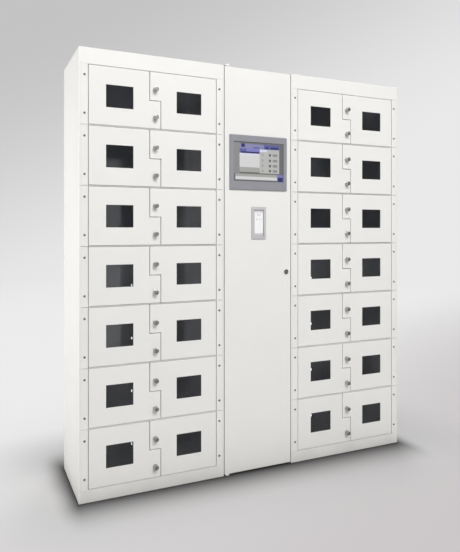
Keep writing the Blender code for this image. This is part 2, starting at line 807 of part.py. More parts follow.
def power_supply(material):
    """Supply on the tower's back panel, with a sunk terminal ledge at its lower end."""
    rear = PANEL_BACK_FACE - SEAT_GAP
    front = rear - SUPPLY_DEPTH
    low = SUPPLY_CENTRE - SUPPLY_HEIGHT / 2
    half = SUPPLY_WIDTH / 2
    supply = add_part(
        "power_supply",
        rounded_box(
            "power_supply", (-half, front, low), (half, rear, low + SUPPLY_HEIGHT), SUPPLY_ROUND
        ),
        material,
    )
    ledge = box(
        "terminal_ledge",
        (-half + SHEET, front - OVER, low - OVER),
        (half - SHEET, front + TERMINAL_DEPTH, low + TERMINAL_HEIGHT),
    )
    cut(supply, ledge)


def mains_inlet(panel, material):
    """Socket in the tower's back panel for a detachable mains lead."""
    half = INLET_WIDTH / 2
    rise = INLET_HEIGHT / 2
    plate_front = PANEL_BACK_FACE + SHEET + SEAT_GAP
    plate_back = plate_front + INLET_PLATE
    inlet = add_part(
        "mains_inlet",
        box(
            "mains_inlet",
            (-half - INLET_LAP, plate_front, INLET_CENTRE - rise - INLET_LAP),
            (half + INLET_LAP, plate_back, INLET_CENTRE + rise + INLET_LAP),
        ),
        material,
    )
    body = box(
        "inlet_body",
        (-half, plate_back - INLET_DEPTH, INLET_CENTRE - rise),
        (half, plate_front + BITE, INLET_CENTRE + rise),
    )
    socket = box(
        "inlet_socket",
        (-SOCKET_WIDTH / 2, plate_back - SOCKET_DEPTH, INLET_CENTRE - SOCKET_HEIGHT / 2),
        (SOCKET_WIDTH / 2, plate_back + OVER, INLET_CENTRE + SOCKET_HEIGHT / 2),
    )
    join(inlet, body)
    cut(inlet, socket)
    hole_half = half + SEAT_GAP
    hole_rise = rise + SEAT_GAP
    cut(
        panel,
        box(
            "inlet_hole",
            (-hole_half, PANEL_BACK_FACE - OVER, INLET_CENTRE - hole_rise),
            (hole_half, PANEL_BACK_FACE + SHEET + OVER, INLET_CENTRE + hole_rise),
        ),
    )


def build_bank(name, x, first_door, first_box, meshes, materials):
    """Carcass, back panel, row boxes and doors of one bank, numbered from the top left."""
    left_door, right_door, box_mesh = meshes
    white, door_white, inner_white = materials
    bank_carcass(f"{name}_bank_carcass", x, white)
    back_panel(f"{name}_bank_back_panel", x, BANK_WIDTH, white)
    for row in range(ROWS):
        z = row_middle(row)
        add_part(f"row_box_{first_box + row:02d}", box_mesh, inner_white, (x, FRONT, z))
        number = first_door + 2 * row
        pivot_y = FRONT + PIVOT_BACK
        add_part(f"locker_door_{number:02d}", left_door, door_white, (x - PIVOT_X, pivot_y, z))
        add_part(f"locker_door_{number + 1:02d}", right_door, door_white, (x + PIVOT_X, pivot_y, z))


clear_scene()
KIOSK = new_collection("phone_charging_kiosk")
CUTTERS = new_collection("cutters")

carcass_white = new_material("carcass_white", (0.87, 0.865, 0.84), 0.42)
door_white = new_material("door_white", (0.88, 0.875, 0.85), 0.40)
inner_white = new_material("inner_white", (0.80, 0.80, 0.78), 0.45)
steel = new_material("pivot_steel", (0.62, 0.62, 0.61), 0.35, 1.0)
chrome = new_material("lock_chrome", (0.78, 0.78, 0.78), 0.18, 1.0)
plug_steel = new_material("plug_steel", (0.40, 0.40, 0.40), 0.30, 1.0)
bezel_grey = new_material("bezel_grey", (0.33, 0.33, 0.37), 0.45)
screen_glass = new_material("screen_glass", (0.10, 0.14, 0.32), 0.12)
case_metal = new_material("case_metal", (0.45, 0.46, 0.47), 0.40, 1.0)
reader_grey = new_material("reader_grey", (0.48, 0.48, 0.48), 0.45)
reader_white = new_material("reader_white", (0.85, 0.85, 0.85), 0.30)
supply_metal = new_material("supply_metal", (0.55, 0.56, 0.57), 0.38, 1.0)
inlet_black = new_material("inlet_black", (0.02, 0.02, 0.02), 0.45)

bank_meshes = (
    locker_door("left_locker_door", True, door_white),
    locker_door("right_locker_door", False, door_white),
    row_box(inner_white),
)
bank_materials = (carcass_white, door_white, inner_white)
build_bank("left", -BANK_X, 1, 1, bank_meshes, bank_materials)
build_bank("right", BANK_X, 1 + 2 * ROWS, 1 + ROWS, bank_meshes, bank_materials)

tower_carcass(carcass_white)
tower_panel = back_panel("tower_back_panel", 0.0, TOWER_WIDTH, carcass_white)
tower_pivots(steel)
power_supply(supply_metal)
mains_inlet(tower_panel, inlet_black)

tower_axis = joint_axis("tower_door_axis", (TOWER_PIVOT_X, TOWER_PIVOT_Y, 0.0))
tower_pieces = [
    tower_door(door_white),
    *touch_panel(bezel_grey, screen_glass, case_metal),
    *card_reader(reader_grey, reader_white),
    *tower_lock(chrome, plug_steel),
]
for piece in tower_pieces:
    hang(piece, tower_axis)
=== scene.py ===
"""Looks of the phone charging kiosk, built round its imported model.

Metres, +Z up. The front looks towards -Y, and the origin is on the floor under the middle of the tower.
"""

import json
import math

import bmesh
import bpy
from mathutils import Matrix, Vector


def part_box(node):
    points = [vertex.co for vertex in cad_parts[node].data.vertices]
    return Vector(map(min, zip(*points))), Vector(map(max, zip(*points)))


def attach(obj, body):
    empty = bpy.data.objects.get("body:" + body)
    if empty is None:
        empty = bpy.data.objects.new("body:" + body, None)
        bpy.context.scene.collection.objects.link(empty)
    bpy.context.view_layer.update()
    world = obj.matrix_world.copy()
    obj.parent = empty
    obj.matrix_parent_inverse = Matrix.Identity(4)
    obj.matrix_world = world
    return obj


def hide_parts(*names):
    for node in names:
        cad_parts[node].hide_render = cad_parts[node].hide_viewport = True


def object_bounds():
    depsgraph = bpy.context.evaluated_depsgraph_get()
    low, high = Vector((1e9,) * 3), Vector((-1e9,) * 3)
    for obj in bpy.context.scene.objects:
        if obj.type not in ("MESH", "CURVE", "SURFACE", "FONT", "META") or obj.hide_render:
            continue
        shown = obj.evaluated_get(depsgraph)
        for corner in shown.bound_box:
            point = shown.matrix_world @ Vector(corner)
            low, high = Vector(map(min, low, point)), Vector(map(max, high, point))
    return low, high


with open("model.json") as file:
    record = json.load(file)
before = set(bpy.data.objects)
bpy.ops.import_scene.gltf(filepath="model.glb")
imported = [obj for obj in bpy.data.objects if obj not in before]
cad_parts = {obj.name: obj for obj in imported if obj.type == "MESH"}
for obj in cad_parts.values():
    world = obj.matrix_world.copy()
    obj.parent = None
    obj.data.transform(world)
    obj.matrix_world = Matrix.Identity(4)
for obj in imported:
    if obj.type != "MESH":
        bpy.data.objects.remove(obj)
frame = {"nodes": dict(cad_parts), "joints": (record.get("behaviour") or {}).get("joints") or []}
cad_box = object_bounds()

# View of the photograph, in its own pixels where a name ends in PX
PHOTO_WIDTH_PX = 460
PHOTO_HEIGHT_PX = 552
FOCAL_PX = 585.9
AXIS_PX = 247.8  # pixel column of the optical axis
HORIZON_PX = 230.1  # pixel row at the camera's height
CAMERA_YAW = math.radians(25.51)
CAMERA_AHEAD = 2.489  # camera to the front plane
CAMERA_BESIDE = 0.413  # camera to the left side of the kiosk
CAMERA_HEIGHT = 1.137
SENSOR_MM = 36.0

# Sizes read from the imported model
BANK_LOW, BANK_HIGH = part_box("left_bank_carcass")
ROW_LOW, ROW_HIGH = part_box("row_box_01")
LAST_ROW_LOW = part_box("row_box_07")[0]
PIVOTS = {joint["child"]: Vector(joint["pos_m"]) for joint in frame["joints"]}
FRONT = BANK_LOW.y
BACK = BANK_HIGH.y
HEIGHT = BANK_HIGH.z
BANK_HALF = (BANK_HIGH.x - BANK_LOW.x) / 2
BANK_CENTRES = {"left": (BANK_LOW.x + BANK_HIGH.x) / 2, "right": -(BANK_LOW.x + BANK_HIGH.x) / 2}
ROWS = 7
ROW_HALF = (ROW_HIGH.z - ROW_LOW.z) / 2
FLANGE_HALF = (ROW_HIGH.x - ROW_LOW.x) / 2

# Edges and rounds
FOLD = 0.002  # outer radius of a folded edge
FOLD_STEPS = 3
CUT_FOLD = 0.0008  # that of the tower carcass, whose front is cut away up to its sides
EDGE = 0.0003  # broken edge of cut sheet
EDGE_STEPS = 2
FINE_EDGE = 0.0002
SMALL_EDGE = 0.0004
SOFT_EDGE = 0.0006
PLATE_EDGE = 0.0008
ROUND_STEPS = 48
PIN_STEPS = 32
SMOOTH_ANGLE = math.radians(35)
FLAT_ANGLE = math.radians(1)
WELD = 1e-6  # points nearer than this become one
OVER = 0.004  # cutters run past what they cut
CONTACT = 0.0001  # kept free between faces that would touch

# Sheet metal
SHEET = 0.0015
SEAT_GAP = 0.0003
SEAT_LAP = 0.0275  # row flange on the carcass
FLANGE = 0.0295  # row flange beside its box
FLANGE_SHORT = 0.0003  # its ends stay inside those of the box
STACK_GAP = 0.001  # between two row boxes
RELIEF_WIDTH = 0.0245  # slot in the carcass behind the joint of two flanges
RELIEF_HEIGHT = 0.0018
RELIEF_START = 0.0005  # its cutter starts ahead of the seat

# Locker doors, drawn about their pivot
DOOR_DEPTH = 0.018
DOOR_GAP = 0.0015
SEAM_GAP = 0.0025
SEAM_SHIFT = 0.025
STEP_DROP = 0.002
PIVOT_IN = 0.008
PIVOT_BACK = 0.005
PIN_RADIUS = 0.0025
PIN_CLEARANCE = 0.0004
PIN_CHAMFER = 0.0004
DOOR_PIN_STEPS = 24
WINDOW_WIDTH = 0.117
WINDOW_HEIGHT = 0.096
WINDOW_INSET = 0.0725
PANE = 0.003
PANE_LAP = 0.008
PANE_COVER = 0.46  # share of the light that each side of a pane stops
PANE_DUST_AND_SHEEN = (0.036, 0.038, 0.045)  # dust on it, and a painted sheen that makes some panes lighter than others
PANE_SHEEN_IOR = 1.60  # above acrylic's, because the cover also weakens what a pane mirrors
CLIP_OUT = 0.014  # clips reach outside and inside the edge of the pane
CLIP_IN = 0.006
CLIP_WIDTH = 0.012
CLIP_SHEET = 0.0012
CLIP_EDGE = 0.0005
CLIP_RISE = 0.7  # share of the pane's half height
STUD_OUT = 0.008  # weld stud outside the edge of the pane
STUD_STEPS = 12
STUD = (  # radius, behind the pane
    (0.0015, -PANE), (0.0015, 0.0012), (0.0036, 0.0012), (0.0036, 0.0036), (0.0015, 0.0038), (0.0015, 0.0070),
)
STRIKE_WIDTH = 0.005
STRIKE_HEIGHT = 0.030
STRIKE_LENGTH = 0.0315  # tip of the strike behind the face of the door
STRIKE_ROOT = 0.001  # its start behind the sheet
STRIKE_EYE = (-0.008, -0.003)  # hole for the latch, from the tip
STRIKE_CLEARANCE = 0.003
WELL_CLEARANCE = 0.002  # between the back of a closed door and the duct
DOOR_HALF = ROW_HALF - SHEET - DOOR_GAP
PIVOT_X = BANK_CENTRES["left"] - PIVOTS["locker_door_01"].x
FACE = -PIVOT_BACK
INNER = FACE + SHEET
STEP_Z = -STEP_DROP
WINDOW_LEFT = -PIVOT_IN + WINDOW_INSET
PANE_SPAN = (WINDOW_LEFT - PANE_LAP, WINDOW_LEFT + WINDOW_WIDTH + PANE_LAP)
PANE_HALF = WINDOW_HEIGHT / 2 + PANE_LAP

# Locks of the locker doors
LOCK_RADIUS = 0.0105
LOCK_SHANK = 0.0100
LOCK_REACH = 0.022
LOCK_RISE = 0.047
LOCK_BORE = 0.0080
LOCK_LIP = ((0.0, 0.0035), (0.0002, 0.0004), (0.0004, 0.0))  # out from the bore, back from the nose
LOCK_NOSE = ((-0.0009, 0.0), (-0.0004, 0.0003), (0.0, 0.0012))  # out from the shank, back from the nose
LOCK_WAIST = ((0.0, -0.0034), (-0.0003, -0.0031), (-0.0003, -0.0025))  # likewise, back from the door
LOCK_RING = ((0.0, -0.0021), (0.0, -0.0002), (-0.0003, 0.0002))  # out from the radius, back from the door
LOCK_NUT = (  # radius, behind the sheet
    (0.0140, CONTACT), (0.0145, 0.0006), (0.0145, 0.0034), (0.0140, 0.0040),
)
LOCK_NUT_SIDES = 6
KEY_FACE_SUNK = 0.0009  # its front and back behind the nose
KEY_FACE_END = 0.008
KEY_FACE_PLAY = 0.0002
KEY_FACE_BROW = ((-0.0007, 0.0), (-0.0002, 0.0004), (0.0, 0.0014))  # from its radius and front
KEYWAY = (0.002, 0.004, 0.009)  # width, depth and height
LOWER_LOCK_Z = -DOOR_HALF + LOCK_RISE
UPPER_LOCK_Z = STEP_Z + SEAM_GAP / 2 + LOCK_RISE

# Screws
SCREW_FROM_SIDE = 0.023  # screw of a row flange to the side of the bank
SCREW_RISE = 0.080  # above and below the middle of a row
SCREW_STEPS = 20
SCREW_RADIUS = 0.0050
SCREW_HEAD = 0.0022
SCREW_DOME = ((0.0, 1.0), (0.5, 0.96), (0.85, 0.7), (1.0, 0.3), (1.0, 0.0), (0.0, 0.0))  # in shares of both
RECESS_REACH = 0.6  # cross recess, in shares too
RECESS_HALF = 0.14
RECESS_FLOOR = 0.35
PANEL_SCREW_INSET = 0.014
PANEL_SCREW_HEIGHTS = (0.060, 0.655, 1.245, 1.840)

# Vents of the back panels
VENT_COUNT = 7
VENT_WIDTH = 0.160
VENT_HEIGHT = 0.005
VENT_PITCH = 0.018
VENT_LOW = 0.180  # middle of the lower group above the floor
VENT_HIGH = 0.200  # middle of the upper group under the top

# Charging outlets
OUTLET_WIDTH = 0.036
OUTLET_HEIGHT = 0.030
OUTLET_PROUD = 0.006
OUTLET_SKIN = 0.0006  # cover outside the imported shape
OUTLET_SUNK = 0.0004  # cover in the duct wall
OUTLET_EDGE = 0.002
OUTLET_FROM_BACK = 0.075
OUTLET_RISE = 0.055
DUCT_HALF = 0.022
PORT_RISE = 0.0098  # above and below the middle of the outlet
PORT_WIDTH = 0.013
PORT_HEIGHT = 0.0056
PORT_DEPTH = 0.003
PORT_FLOOR = (-0.0045, -0.0022)  # dark inside of a port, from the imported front
PORT_FLOOR_LAP = 0.0004
LAMP_SPAN = (-0.0165, -0.0080)  # beside the ports, towards the back of the left compartments
LAMP_HEIGHT = 0.010
LAMP_DEPTH = (-0.001, 0.002)  # from the front of the cover
LAMP_EDGE = 0.0009
STATUS_GLOW = 4.5

# Tower
CAM_EDGE = 0.014  # folded edge that the lock cam catches
CAM_HALF = 0.007
CUTOUT_MARGIN = 0.002
CUTOUT_DEPTH = 0.060
TOWER_PIN_RADIUS = 0.003
PIN_HEAD_RADIUS = 0.0055
PIN_HEAD_HEIGHT = 0.006
PIN_HEAD_BROW = ((0.0, -0.0012), (-0.0012, 0.0))  # from its radius and top
PIN_SUNK = 0.001  # pin in its bracket
BRACKET_SHEET = 0.003
TOWER_LOCK_HOLE = 0.0098
TOWER_LOCK_RADIUS = 0.0120
TOWER_LOCK_SHANK = 0.0095
TOWER_LOCK_BORE = 0.0063
TOWER_LOCK_LIP = ((0.0, 0.0004), (0.0004, 0.0))  # from the bore and the front of the collar
TOWER_LOCK_BROW = ((-0.0012, 0.0), (-0.0004, 0.0004), (0.0, 0.0012))  # from the radius and the same front
TOWER_RING = (  # dark ring on the collar: radius, from that front
    (0.0066, -0.0004), (0.0100, -0.0004), (0.0104, 0.0),
    (0.0104, 0.0006), (0.0066, 0.0006), (0.0066, -0.0004),
)
TOWER_PLUG_RADIUS = 0.0060
TOWER_PLUG_NOSE = ((-0.0006, 0.0), (0.0, 0.0006))  # from its radius and front
TOWER_KEYWAY = (0.0016, 0.006, 0.008)
PLUG_IN_CAM = 0.0006

# Mains inlet and power supply
INLET_LAP = 0.004  # flange of the mains inlet round its hole
BLADE_WIDTH = 0.002
BLADE_HEIGHT = 0.004
BLADE_DEPTH = (-0.0178, -0.005)  # root and tip, from the inlet's rim
BLADE_PLACES = ((-0.007, -0.0015), (0.0, 0.0025), (0.007, -0.0015))
TERMINALS = 7
STRIP_INSET = 0.006
STRIP_DEPTH = (0.012, 0.0224)  # front and back behind the front of the supply
STRIP_RISE = (0.001, 0.015)

# Card reader
READER_RADIUS = 0.0016
POCKET_RIM = 0.0012
POCKET_DEPTH = 0.005
LINING_DEPTH = (-0.0004, 0.0008)  # about the floor of the pocket
READER_PAD_WIDTH = 0.044
READER_PAD_DROP = 0.011  # pad to the lower end of the face
READER_PAD_TOP = 0.0143  # pad to the upper end of the face
READER_PAD_PROUD = 0.0025
READER_PAD_EDGE = 0.0012
MARK_DEPTH = (-0.00015, 0.0005)  # about the front of the pad
MARK_EDGE = 0.0001
READER_MARKS = (  # across from the middle, width, below the top of the pad, height
    (-0.004, 0.007, 0.003, 0.012),
    (0.007, 0.006, 0.004, 0.009),
    (-0.009, 0.006, 0.026, 0.008),
    (0.006, 0.006, 0.026, 0.008),
)

# Touch panel
BEZEL_RADIUS = 0.0035
BEZEL_STEPS = 4
BEZEL_LAP = 0.006  # bezel over the edge of the display
SCREEN_LAYER = 0.0001  # step between its lit areas
SCREEN_ROOT = 0.0005  # lit areas in the display
SCREEN_EDGE = 0.00004
SCREEN_GLOW = 0.12
KEY_HEIGHT = 0.064  # share of the display's height


# Mesh tools
def finished(shape):
    """The bmesh as a mesh with its faces pointing out, shaded smooth between sharp edges."""
    bmesh.ops.recalc_face_normals(shape, faces=shape.faces)
    mesh = bpy.data.meshes.new("made")
    shape.to_mesh(mesh)
    shape.free()
    mesh.shade_smooth()
    mesh.set_sharp_from_angle(angle=SMOOTH_ANGLE)
    return mesh


def span(middle, length):
    return middle - length / 2, middle + length / 2


def grown(pair, by):
    return pair[0] - by, pair[1] + by


def spans(node):
    """Spans of a node's box along X, Y and Z."""
    return zip(*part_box(node))


def stepped(start, steps):
    return [start + step for step in steps]


def profile(radius, along, steps):
    """Points (radius, along) at steps from a radius and a plane."""
    return [(radius + out, along + back) for out, back in steps]


def block(x, y, z, radius=0.0, steps=FOLD_STEPS):
    """A box of three spans, with all its edges rounded."""
    low, high = (Vector(corner) for corner in zip(x, y, z))
    place = Matrix.Translation((high + low) / 2) @ Matrix.Diagonal((*(high - low), 1.0))
    shape = bmesh.new()
    bmesh.ops.create_cube(shape, size=1.0, matrix=place)
    if radius:
        rounded(shape, shape.edges[:], radius, steps)
    return finished(shape)


def rounded(shape, edges, radius, steps):
    bmesh.ops.bevel(shape, geom=edges, offset=radius, segments=steps, profile=0.5, affect="EDGES")


def plate(outline, front, back, radius=0.0):
    """A flat outline of (x, z) points given its thickness along Y, its front edges and corners rounded."""
    shape = bmesh.new()
    face = shape.faces.new([shape.verts.new((x, front, z)) for x, z in outline])
    moved = bmesh.ops.extrude_face_region(shape, geom=[face])["geom"]
    rear = [part for part in moved if isinstance(part, bmesh.types.BMVert)]
    bmesh.ops.translate(shape, vec=(0, back - front, 0), verts=rear)
    if radius:
        edges = [edge for edge in shape.edges if min(v.co.y for v in edge.verts) < front + EDGE]
        rounded(shape, edges, radius, FOLD_STEPS)
    return finished(shape)


def rectangle(x, z):
    """Corners of a span along X and one along Z."""
    return [(x[0], z[0]), (x[1], z[0]), (x[1], z[1]), (x[0], z[1])]


def turned(points, steps=ROUND_STEPS, axis="Y"):
    """A profile of (radius, along) points turned about the Y or Z axis."""
    shape = bmesh.new()
    along_y = axis == "Y"
    corners = [shape.verts.new((r, along, 0) if along_y else (r, 0, along)) for r, along in points]
    for a, b in zip(corners, corners[1:]):
        shape.edges.new((a, b))
    bmesh.ops.spin(
        shape, geom=shape.verts[:] + shape.edges[:], axis=(0, 1, 0) if along_y else (0, 0, 1), cent=(0, 0, 0),
        angle=math.tau, steps=steps, use_merge=True,
    )
    bmesh.ops.remove_doubles(shape, verts=shape.verts, dist=WELD)
    return finished(shape)


def spindle(points, steps=ROUND_STEPS, axis="Y"):
    """A turned profile whose ends are closed to the axis."""
    return turned([(0.0, points[0][1]), *points, (0.0, points[-1][1])], steps, axis)


def rod(radius, low, high, chamfer=0.0, steps=PIN_STEPS, axis="Z"):
    """A rod about an axis, with its ends chamfered."""
    points = [(radius, low), (radius, high)]
    if chamfer:
        waist = radius - chamfer
        points = [(waist, low), (radius, low + chamfer), (radius, high - chamfer), (waist, high)]
    return spindle(points, steps, axis)


def shifted(mesh, x=0.0, y=0.0, z=0.0):
    mesh.transform(Matrix.Translation((x, y, z)))
    return mesh


def gathered(*meshes):
    """One mesh of several."""
    shape = bmesh.new()
    for mesh in meshes:
        shape.from_mesh(mesh)
    return finished(shape)


def worked(base, cuts=(), joins=(), edge=EDGE, steps=EDGE_STEPS):
    """The base mesh with tools joined to it or cut from it, its edges broken, its flat faces shaded flat."""
    carrier = bpy.data.objects.new("carrier", base)
    bpy.context.scene.collection.objects.link(carrier)
    tools = []
    for operation, meshes in (("UNION", joins), ("DIFFERENCE", cuts)):
        for mesh in meshes:
            tool = bpy.data.objects.new("tool", mesh)
            bpy.context.scene.collection.objects.link(tool)
            tools.append(tool)
            boolean = carrier.modifiers.new("Tool", "BOOLEAN")
            boolean.operation = operation
            boolean.solver = "EXACT"
            boolean.object = tool
    if edge:
        bevel = carrier.modifiers.new("Edges", "BEVEL")
        bevel.width = edge
        bevel.segments = steps
        bevel.limit_method = "ANGLE"
        bevel.angle_limit = SMOOTH_ANGLE
        bevel.miter_outer = "MITER_ARC"
    weighted = carrier.modifiers.new("Normals", "WEIGHTED_NORMAL")
    weighted.keep_sharp = True
    bpy.context.view_layer.update()
    graph = bpy.context.evaluated_depsgraph_get()
    mesh = bpy.data.meshes.new_from_object(carrier.evaluated_get(graph))
    for obj in (carrier, *tools):
        bpy.data.objects.remove(obj, do_unlink=True)
    mesh.materials.clear()
    return mesh


def mirrored(mesh):
    """A copy of the mesh, mirrored left to right."""
    copy = mesh.copy()
    copy.transform(Matrix.Scale(-1, 4, (1, 0, 0)))
    copy.flip_normals()
    return copy


def softened(node):
    """A copy of a node's own mesh, with its flat faces merged and its edges broken."""
    shape = bmesh.new()
    shape.from_mesh(frame["nodes"][node].data)
    bmesh.ops.remove_doubles(shape, verts=shape.verts, dist=WELD)
    bmesh.ops.dissolve_limit(
        shape, angle_limit=FLAT_ANGLE, verts=shape.verts, edges=shape.edges, delimit=set()
    )
    return worked(finished(shape), edge=SOFT_EDGE)


def piece(name, mesh, material, body, nodes=(), location=(0, 0, 0), turn=0.0):
    """An object that shows the mesh, moves with a body and stands for the nodes it replaces."""
    obj = bpy.data.objects.new(name, mesh)
    obj.location = location
    obj.rotation_euler = (0, 0, turn)
    bpy.context.scene.collection.objects.link(obj)
    if not mesh.materials:
        mesh.materials.append(material)
    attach(obj, body)
    if nodes:
        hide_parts(*nodes)


# Shader tools
def feed(tree, socket, value):
    """Links a socket to an output, or sets it to a plain value. A plain colour becomes opaque."""
    if isinstance(value, bpy.types.NodeSocket):
        tree.links.new(value, socket)
    elif socket.type == "RGBA":
        socket.default_value = (*value, 1.0)
    else:
        socket.default_value = value


def shader_node(tree, kind, inputs, output, **settings):
    """An output of a new node with these settings and inputs."""
    node = tree.nodes.new(f"ShaderNode{kind}")
    for setting, value in settings.items():
        setattr(node, setting, value)
    for socket, value in inputs.items():
        feed(tree, node.inputs[socket], value)
    return node.outputs[output]


def calculated(tree, operation, a, b):
    return shader_node(tree, "Math", {0: a, 1: b}, "Value", operation=operation)


def vector_step(tree, operation, vector, other=None):
    inputs = {0: vector}
    if other is not None:
        inputs[1] = other
    output = "Value" if operation in ("LENGTH", "DOT_PRODUCT") else "Vector"
    return shader_node(tree, "VectorMath", inputs, output, operation=operation)


def axis_of(tree, vector, axis):
    return shader_node(tree, "SeparateXYZ", {0: vector}, axis)


def ranged(tree, value, within, ends=(0.0, 1.0), easing="LINEAR"):
    """Runs from one end to the other while a value is within two limits."""
    sockets = ("Value", "From Min", "From Max", "To Min", "To Max")
    inputs = dict(zip(sockets, (value, *within, *ends)))
    return shader_node(tree, "MapRange", inputs, "Result", interpolation_type=easing)


def eased(tree, value, within, ends=(0.0, 1.0)):
    return ranged(tree, value, within, ends, "SMOOTHSTEP")


def blended(tree, factor, a, b):
    """A colour between two, each an output or a plain colour."""
    return shader_node(tree, "Mix", {"Factor": factor, "A": a, "B": b}, "Result", data_type="RGBA")


# Materials
NOISE_SPREAD = 20.0  # stretch of the noise over which objects are spread
EDGE_POINTINESS = (0.52, 0.60)  # of sharp outer edges
MIDDLE_NOISE = (0.3, 0.7)
SCUFF = (0.52, 0.51, 0.49)
# lighter colour painted on sharp edges as a highlight
EDGE_HIGHLIGHT = (0.90, 0.90, 0.88)
# colour laid over the lowest part of the coat, making it darker
LOW_DARK_TINT = (0.50, 0.48, 0.45)
LOW_DARK_TOP = 0.16  # above the floor
TARNISH = (0.30, 0.29, 0.28)


class Finish:
    """A Principled material whose sockets can be fed by procedural textures."""

    def __init__(self, name, colour, roughness, **sockets):
        self.material = bpy.data.materials.new(name)
        self.material.use_nodes = True
        self.tree = self.material.node_tree
        self.shader = self.tree.nodes["Principled BSDF"]
        self.colour = colour
        self.normal = None
        self.where = shader_node(self.tree, "TexCoord", {}, "Object")
        self.chance = shader_node(self.tree, "ObjectInfo", {}, "Random")
        self.set("Base Color", colour)
        self.set("Roughness", roughness)
        for socket, value in sockets.items():
            self.set(socket.replace("_", " "), value)

    def set(self, socket, value):
        feed(self.tree, self.shader.inputs[socket], value)

    def noise(self, scale, detail=2.0, stretch=None):
        """Noise that differs from object to object and can be stretched along the axes."""
        where = self.where
        if stretch:
            where = shader_node(self.tree, "Mapping", {"Vector": where, "Scale": stretch}, "Vector")
        seed = calculated(self.tree, "MULTIPLY", self.chance, NOISE_SPREAD)
        inputs = {"Vector": where, "W": seed, "Scale": scale, "Detail": detail}
        return shader_node(self.tree, "TexNoise", inputs, "Fac", noise_dimensions="4D")

    def edges(self):
        """High on sharp outer edges."""
        return ranged(self.tree, shader_node(self.tree, "NewGeometry", {}, "Pointiness"), EDGE_POINTINESS)

    def lowness(self, top):
        """1 on the floor, falling to 0 at the top."""
        place = shader_node(self.tree, "NewGeometry", {}, "Position")
        return ranged(self.tree, axis_of(self.tree, place, "Z"), (0.0, top), (1.0, 0.0))

    def tint(self, colour, mask, within=(0.0, 1.0), share=1.0):
        """Lays up to a share of a colour over the base colour while a mask is within two limits."""
        factor = ranged(self.tree, mask, within, (0.0, share))
        self.colour = blended(self.tree, factor, self.colour, colour)
        self.set("Base Color", self.colour)

    def rough(self, mask, ends, within=MIDDLE_NOISE):
        self.set("Roughness", ranged(self.tree, mask, within, ends))

    def bump(self, height, depth, strength):
        inputs = {"Height": height, "Distance": depth, "Strength": strength}
        if self.normal:
            inputs["Normal"] = self.normal
        self.normal = shader_node(self.tree, "Bump", inputs, "Normal")
        self.set("Normal", self.normal)


def powder_coat(name, colour, shade, low_darkening=False):
    """Satin powder coat: orange peel, uneven gloss, a painted highlight on sharp edges and, near the floor,
    patches that are darker.
    """
    finish = Finish(name, colour, roughness=0.48, IOR=1.45)
    finish.tint(shade, finish.noise(scale=3.0, detail=3.0), within=(0.35, 0.65))
    scuffs = finish.noise(scale=14.0, detail=6.0, stretch=(1.0, 1.0, 7.0))
    finish.tint(SCUFF, scuffs, within=(0.66, 0.74), share=0.10)
    # Painted highlight: sharp outer edges turn lighter.
    finish.tint(EDGE_HIGHLIGHT, finish.edges(), share=0.25)
    # Patches of the coat darken towards the floor, over its lowest part.
    if low_darkening:
        patches = finish.noise(scale=9.0, detail=5.0)
        low_mask = calculated(finish.tree, "MULTIPLY", finish.lowness(LOW_DARK_TOP), patches)
        finish.tint(LOW_DARK_TINT, low_mask, within=(0.25, 0.75), share=0.35)
    finish.rough(finish.noise(scale=7.0, detail=4.0), ends=(0.42, 0.56))
    finish.bump(finish.noise(scale=5.0), depth=0.0006, strength=0.25)
    finish.bump(finish.noise(scale=420.0), depth=0.00012, strength=0.35)
    return finish.material


def bright_metal(name, colour, roughness, grain=(1.0, 1.0, 1.0), tarnish=TARNISH):
    """Plated or brushed metal with fine scratches along its grain and faint tarnish."""
    finish = Finish(name, colour, roughness, Metallic=1.0)
    finish.tint(tarnish, finish.noise(scale=90.0, detail=4.0), within=(0.5, 0.8), share=0.35)
    finish.rough(finish.noise(scale=60.0, detail=3.0), ends=(roughness * 0.75, roughness * 1.35))
    finish.bump(finish.noise(scale=900.0, detail=3.0, stretch=grain), depth=0.00003, strength=0.5)
    return finish.material


def moulded(name, colour, shade, roughness, texture=0.00008):
    """Moulded plastic with a fine spark-eroded texture, and a painted highlight on its sharp edges."""
    finish = Finish(name, colour, roughness, IOR=1.47)
    finish.tint(shade, finish.noise(scale=40.0, detail=3.0), within=(0.35, 0.7), share=0.6)
    # Painted highlight: sharp outer edges turn lighter.
    finish.tint(tuple(min(1.0, part * 1.4) for part in colour), finish.edges(), share=0.2)
    finish.rough(finish.noise(scale=25.0, detail=3.0), ends=(roughness * 0.85, roughness * 1.2))
    finish.bump(finish.noise(scale=1100.0), depth=texture, strength=0.4)
    return finish.material


def smoked_acrylic():
    """Smoked pane with faint wiping marks and a lighter film in places, partly dust and partly painted sheen.
    """
    finish = Finish("window_acrylic", (0.009, 0.011, 0.016), 0.04, IOR=PANE_SHEEN_IOR, Alpha=PANE_COVER)
    finish.set("Specular Tint", (0.95, 0.97, 1.0))
    # Dust and painted sheen: a lighter film over parts of the pane.
    finish.tint(PANE_DUST_AND_SHEEN, finish.noise(scale=6.0, detail=0.0), within=(0.48, 0.66))
    wiped = finish.noise(scale=20.0, detail=5.0, stretch=(1.0, 1.0, 3.0))
    finish.rough(wiped, ends=(0.02, 0.10), within=(0.35, 0.75))
    return finish.material


def lit(name, colour, speckle, glow=SCREEN_GLOW):
    """An area under clear gloss that glows in its own colour."""
    finish = Finish(name, colour, roughness=0.35, Coat_Weight=1.0, Coat_Roughness=0.06)
    finish.tint(speckle, finish.noise(scale=60.0), within=(0.35, 0.7), share=0.5)
    finish.set("Emission Color", finish.colour)
    finish.set("Emission Strength", glow)
    finish.bump(finish.noise(scale=300.0, detail=1.0), depth=0.00002, strength=0.2)
    return finish.material


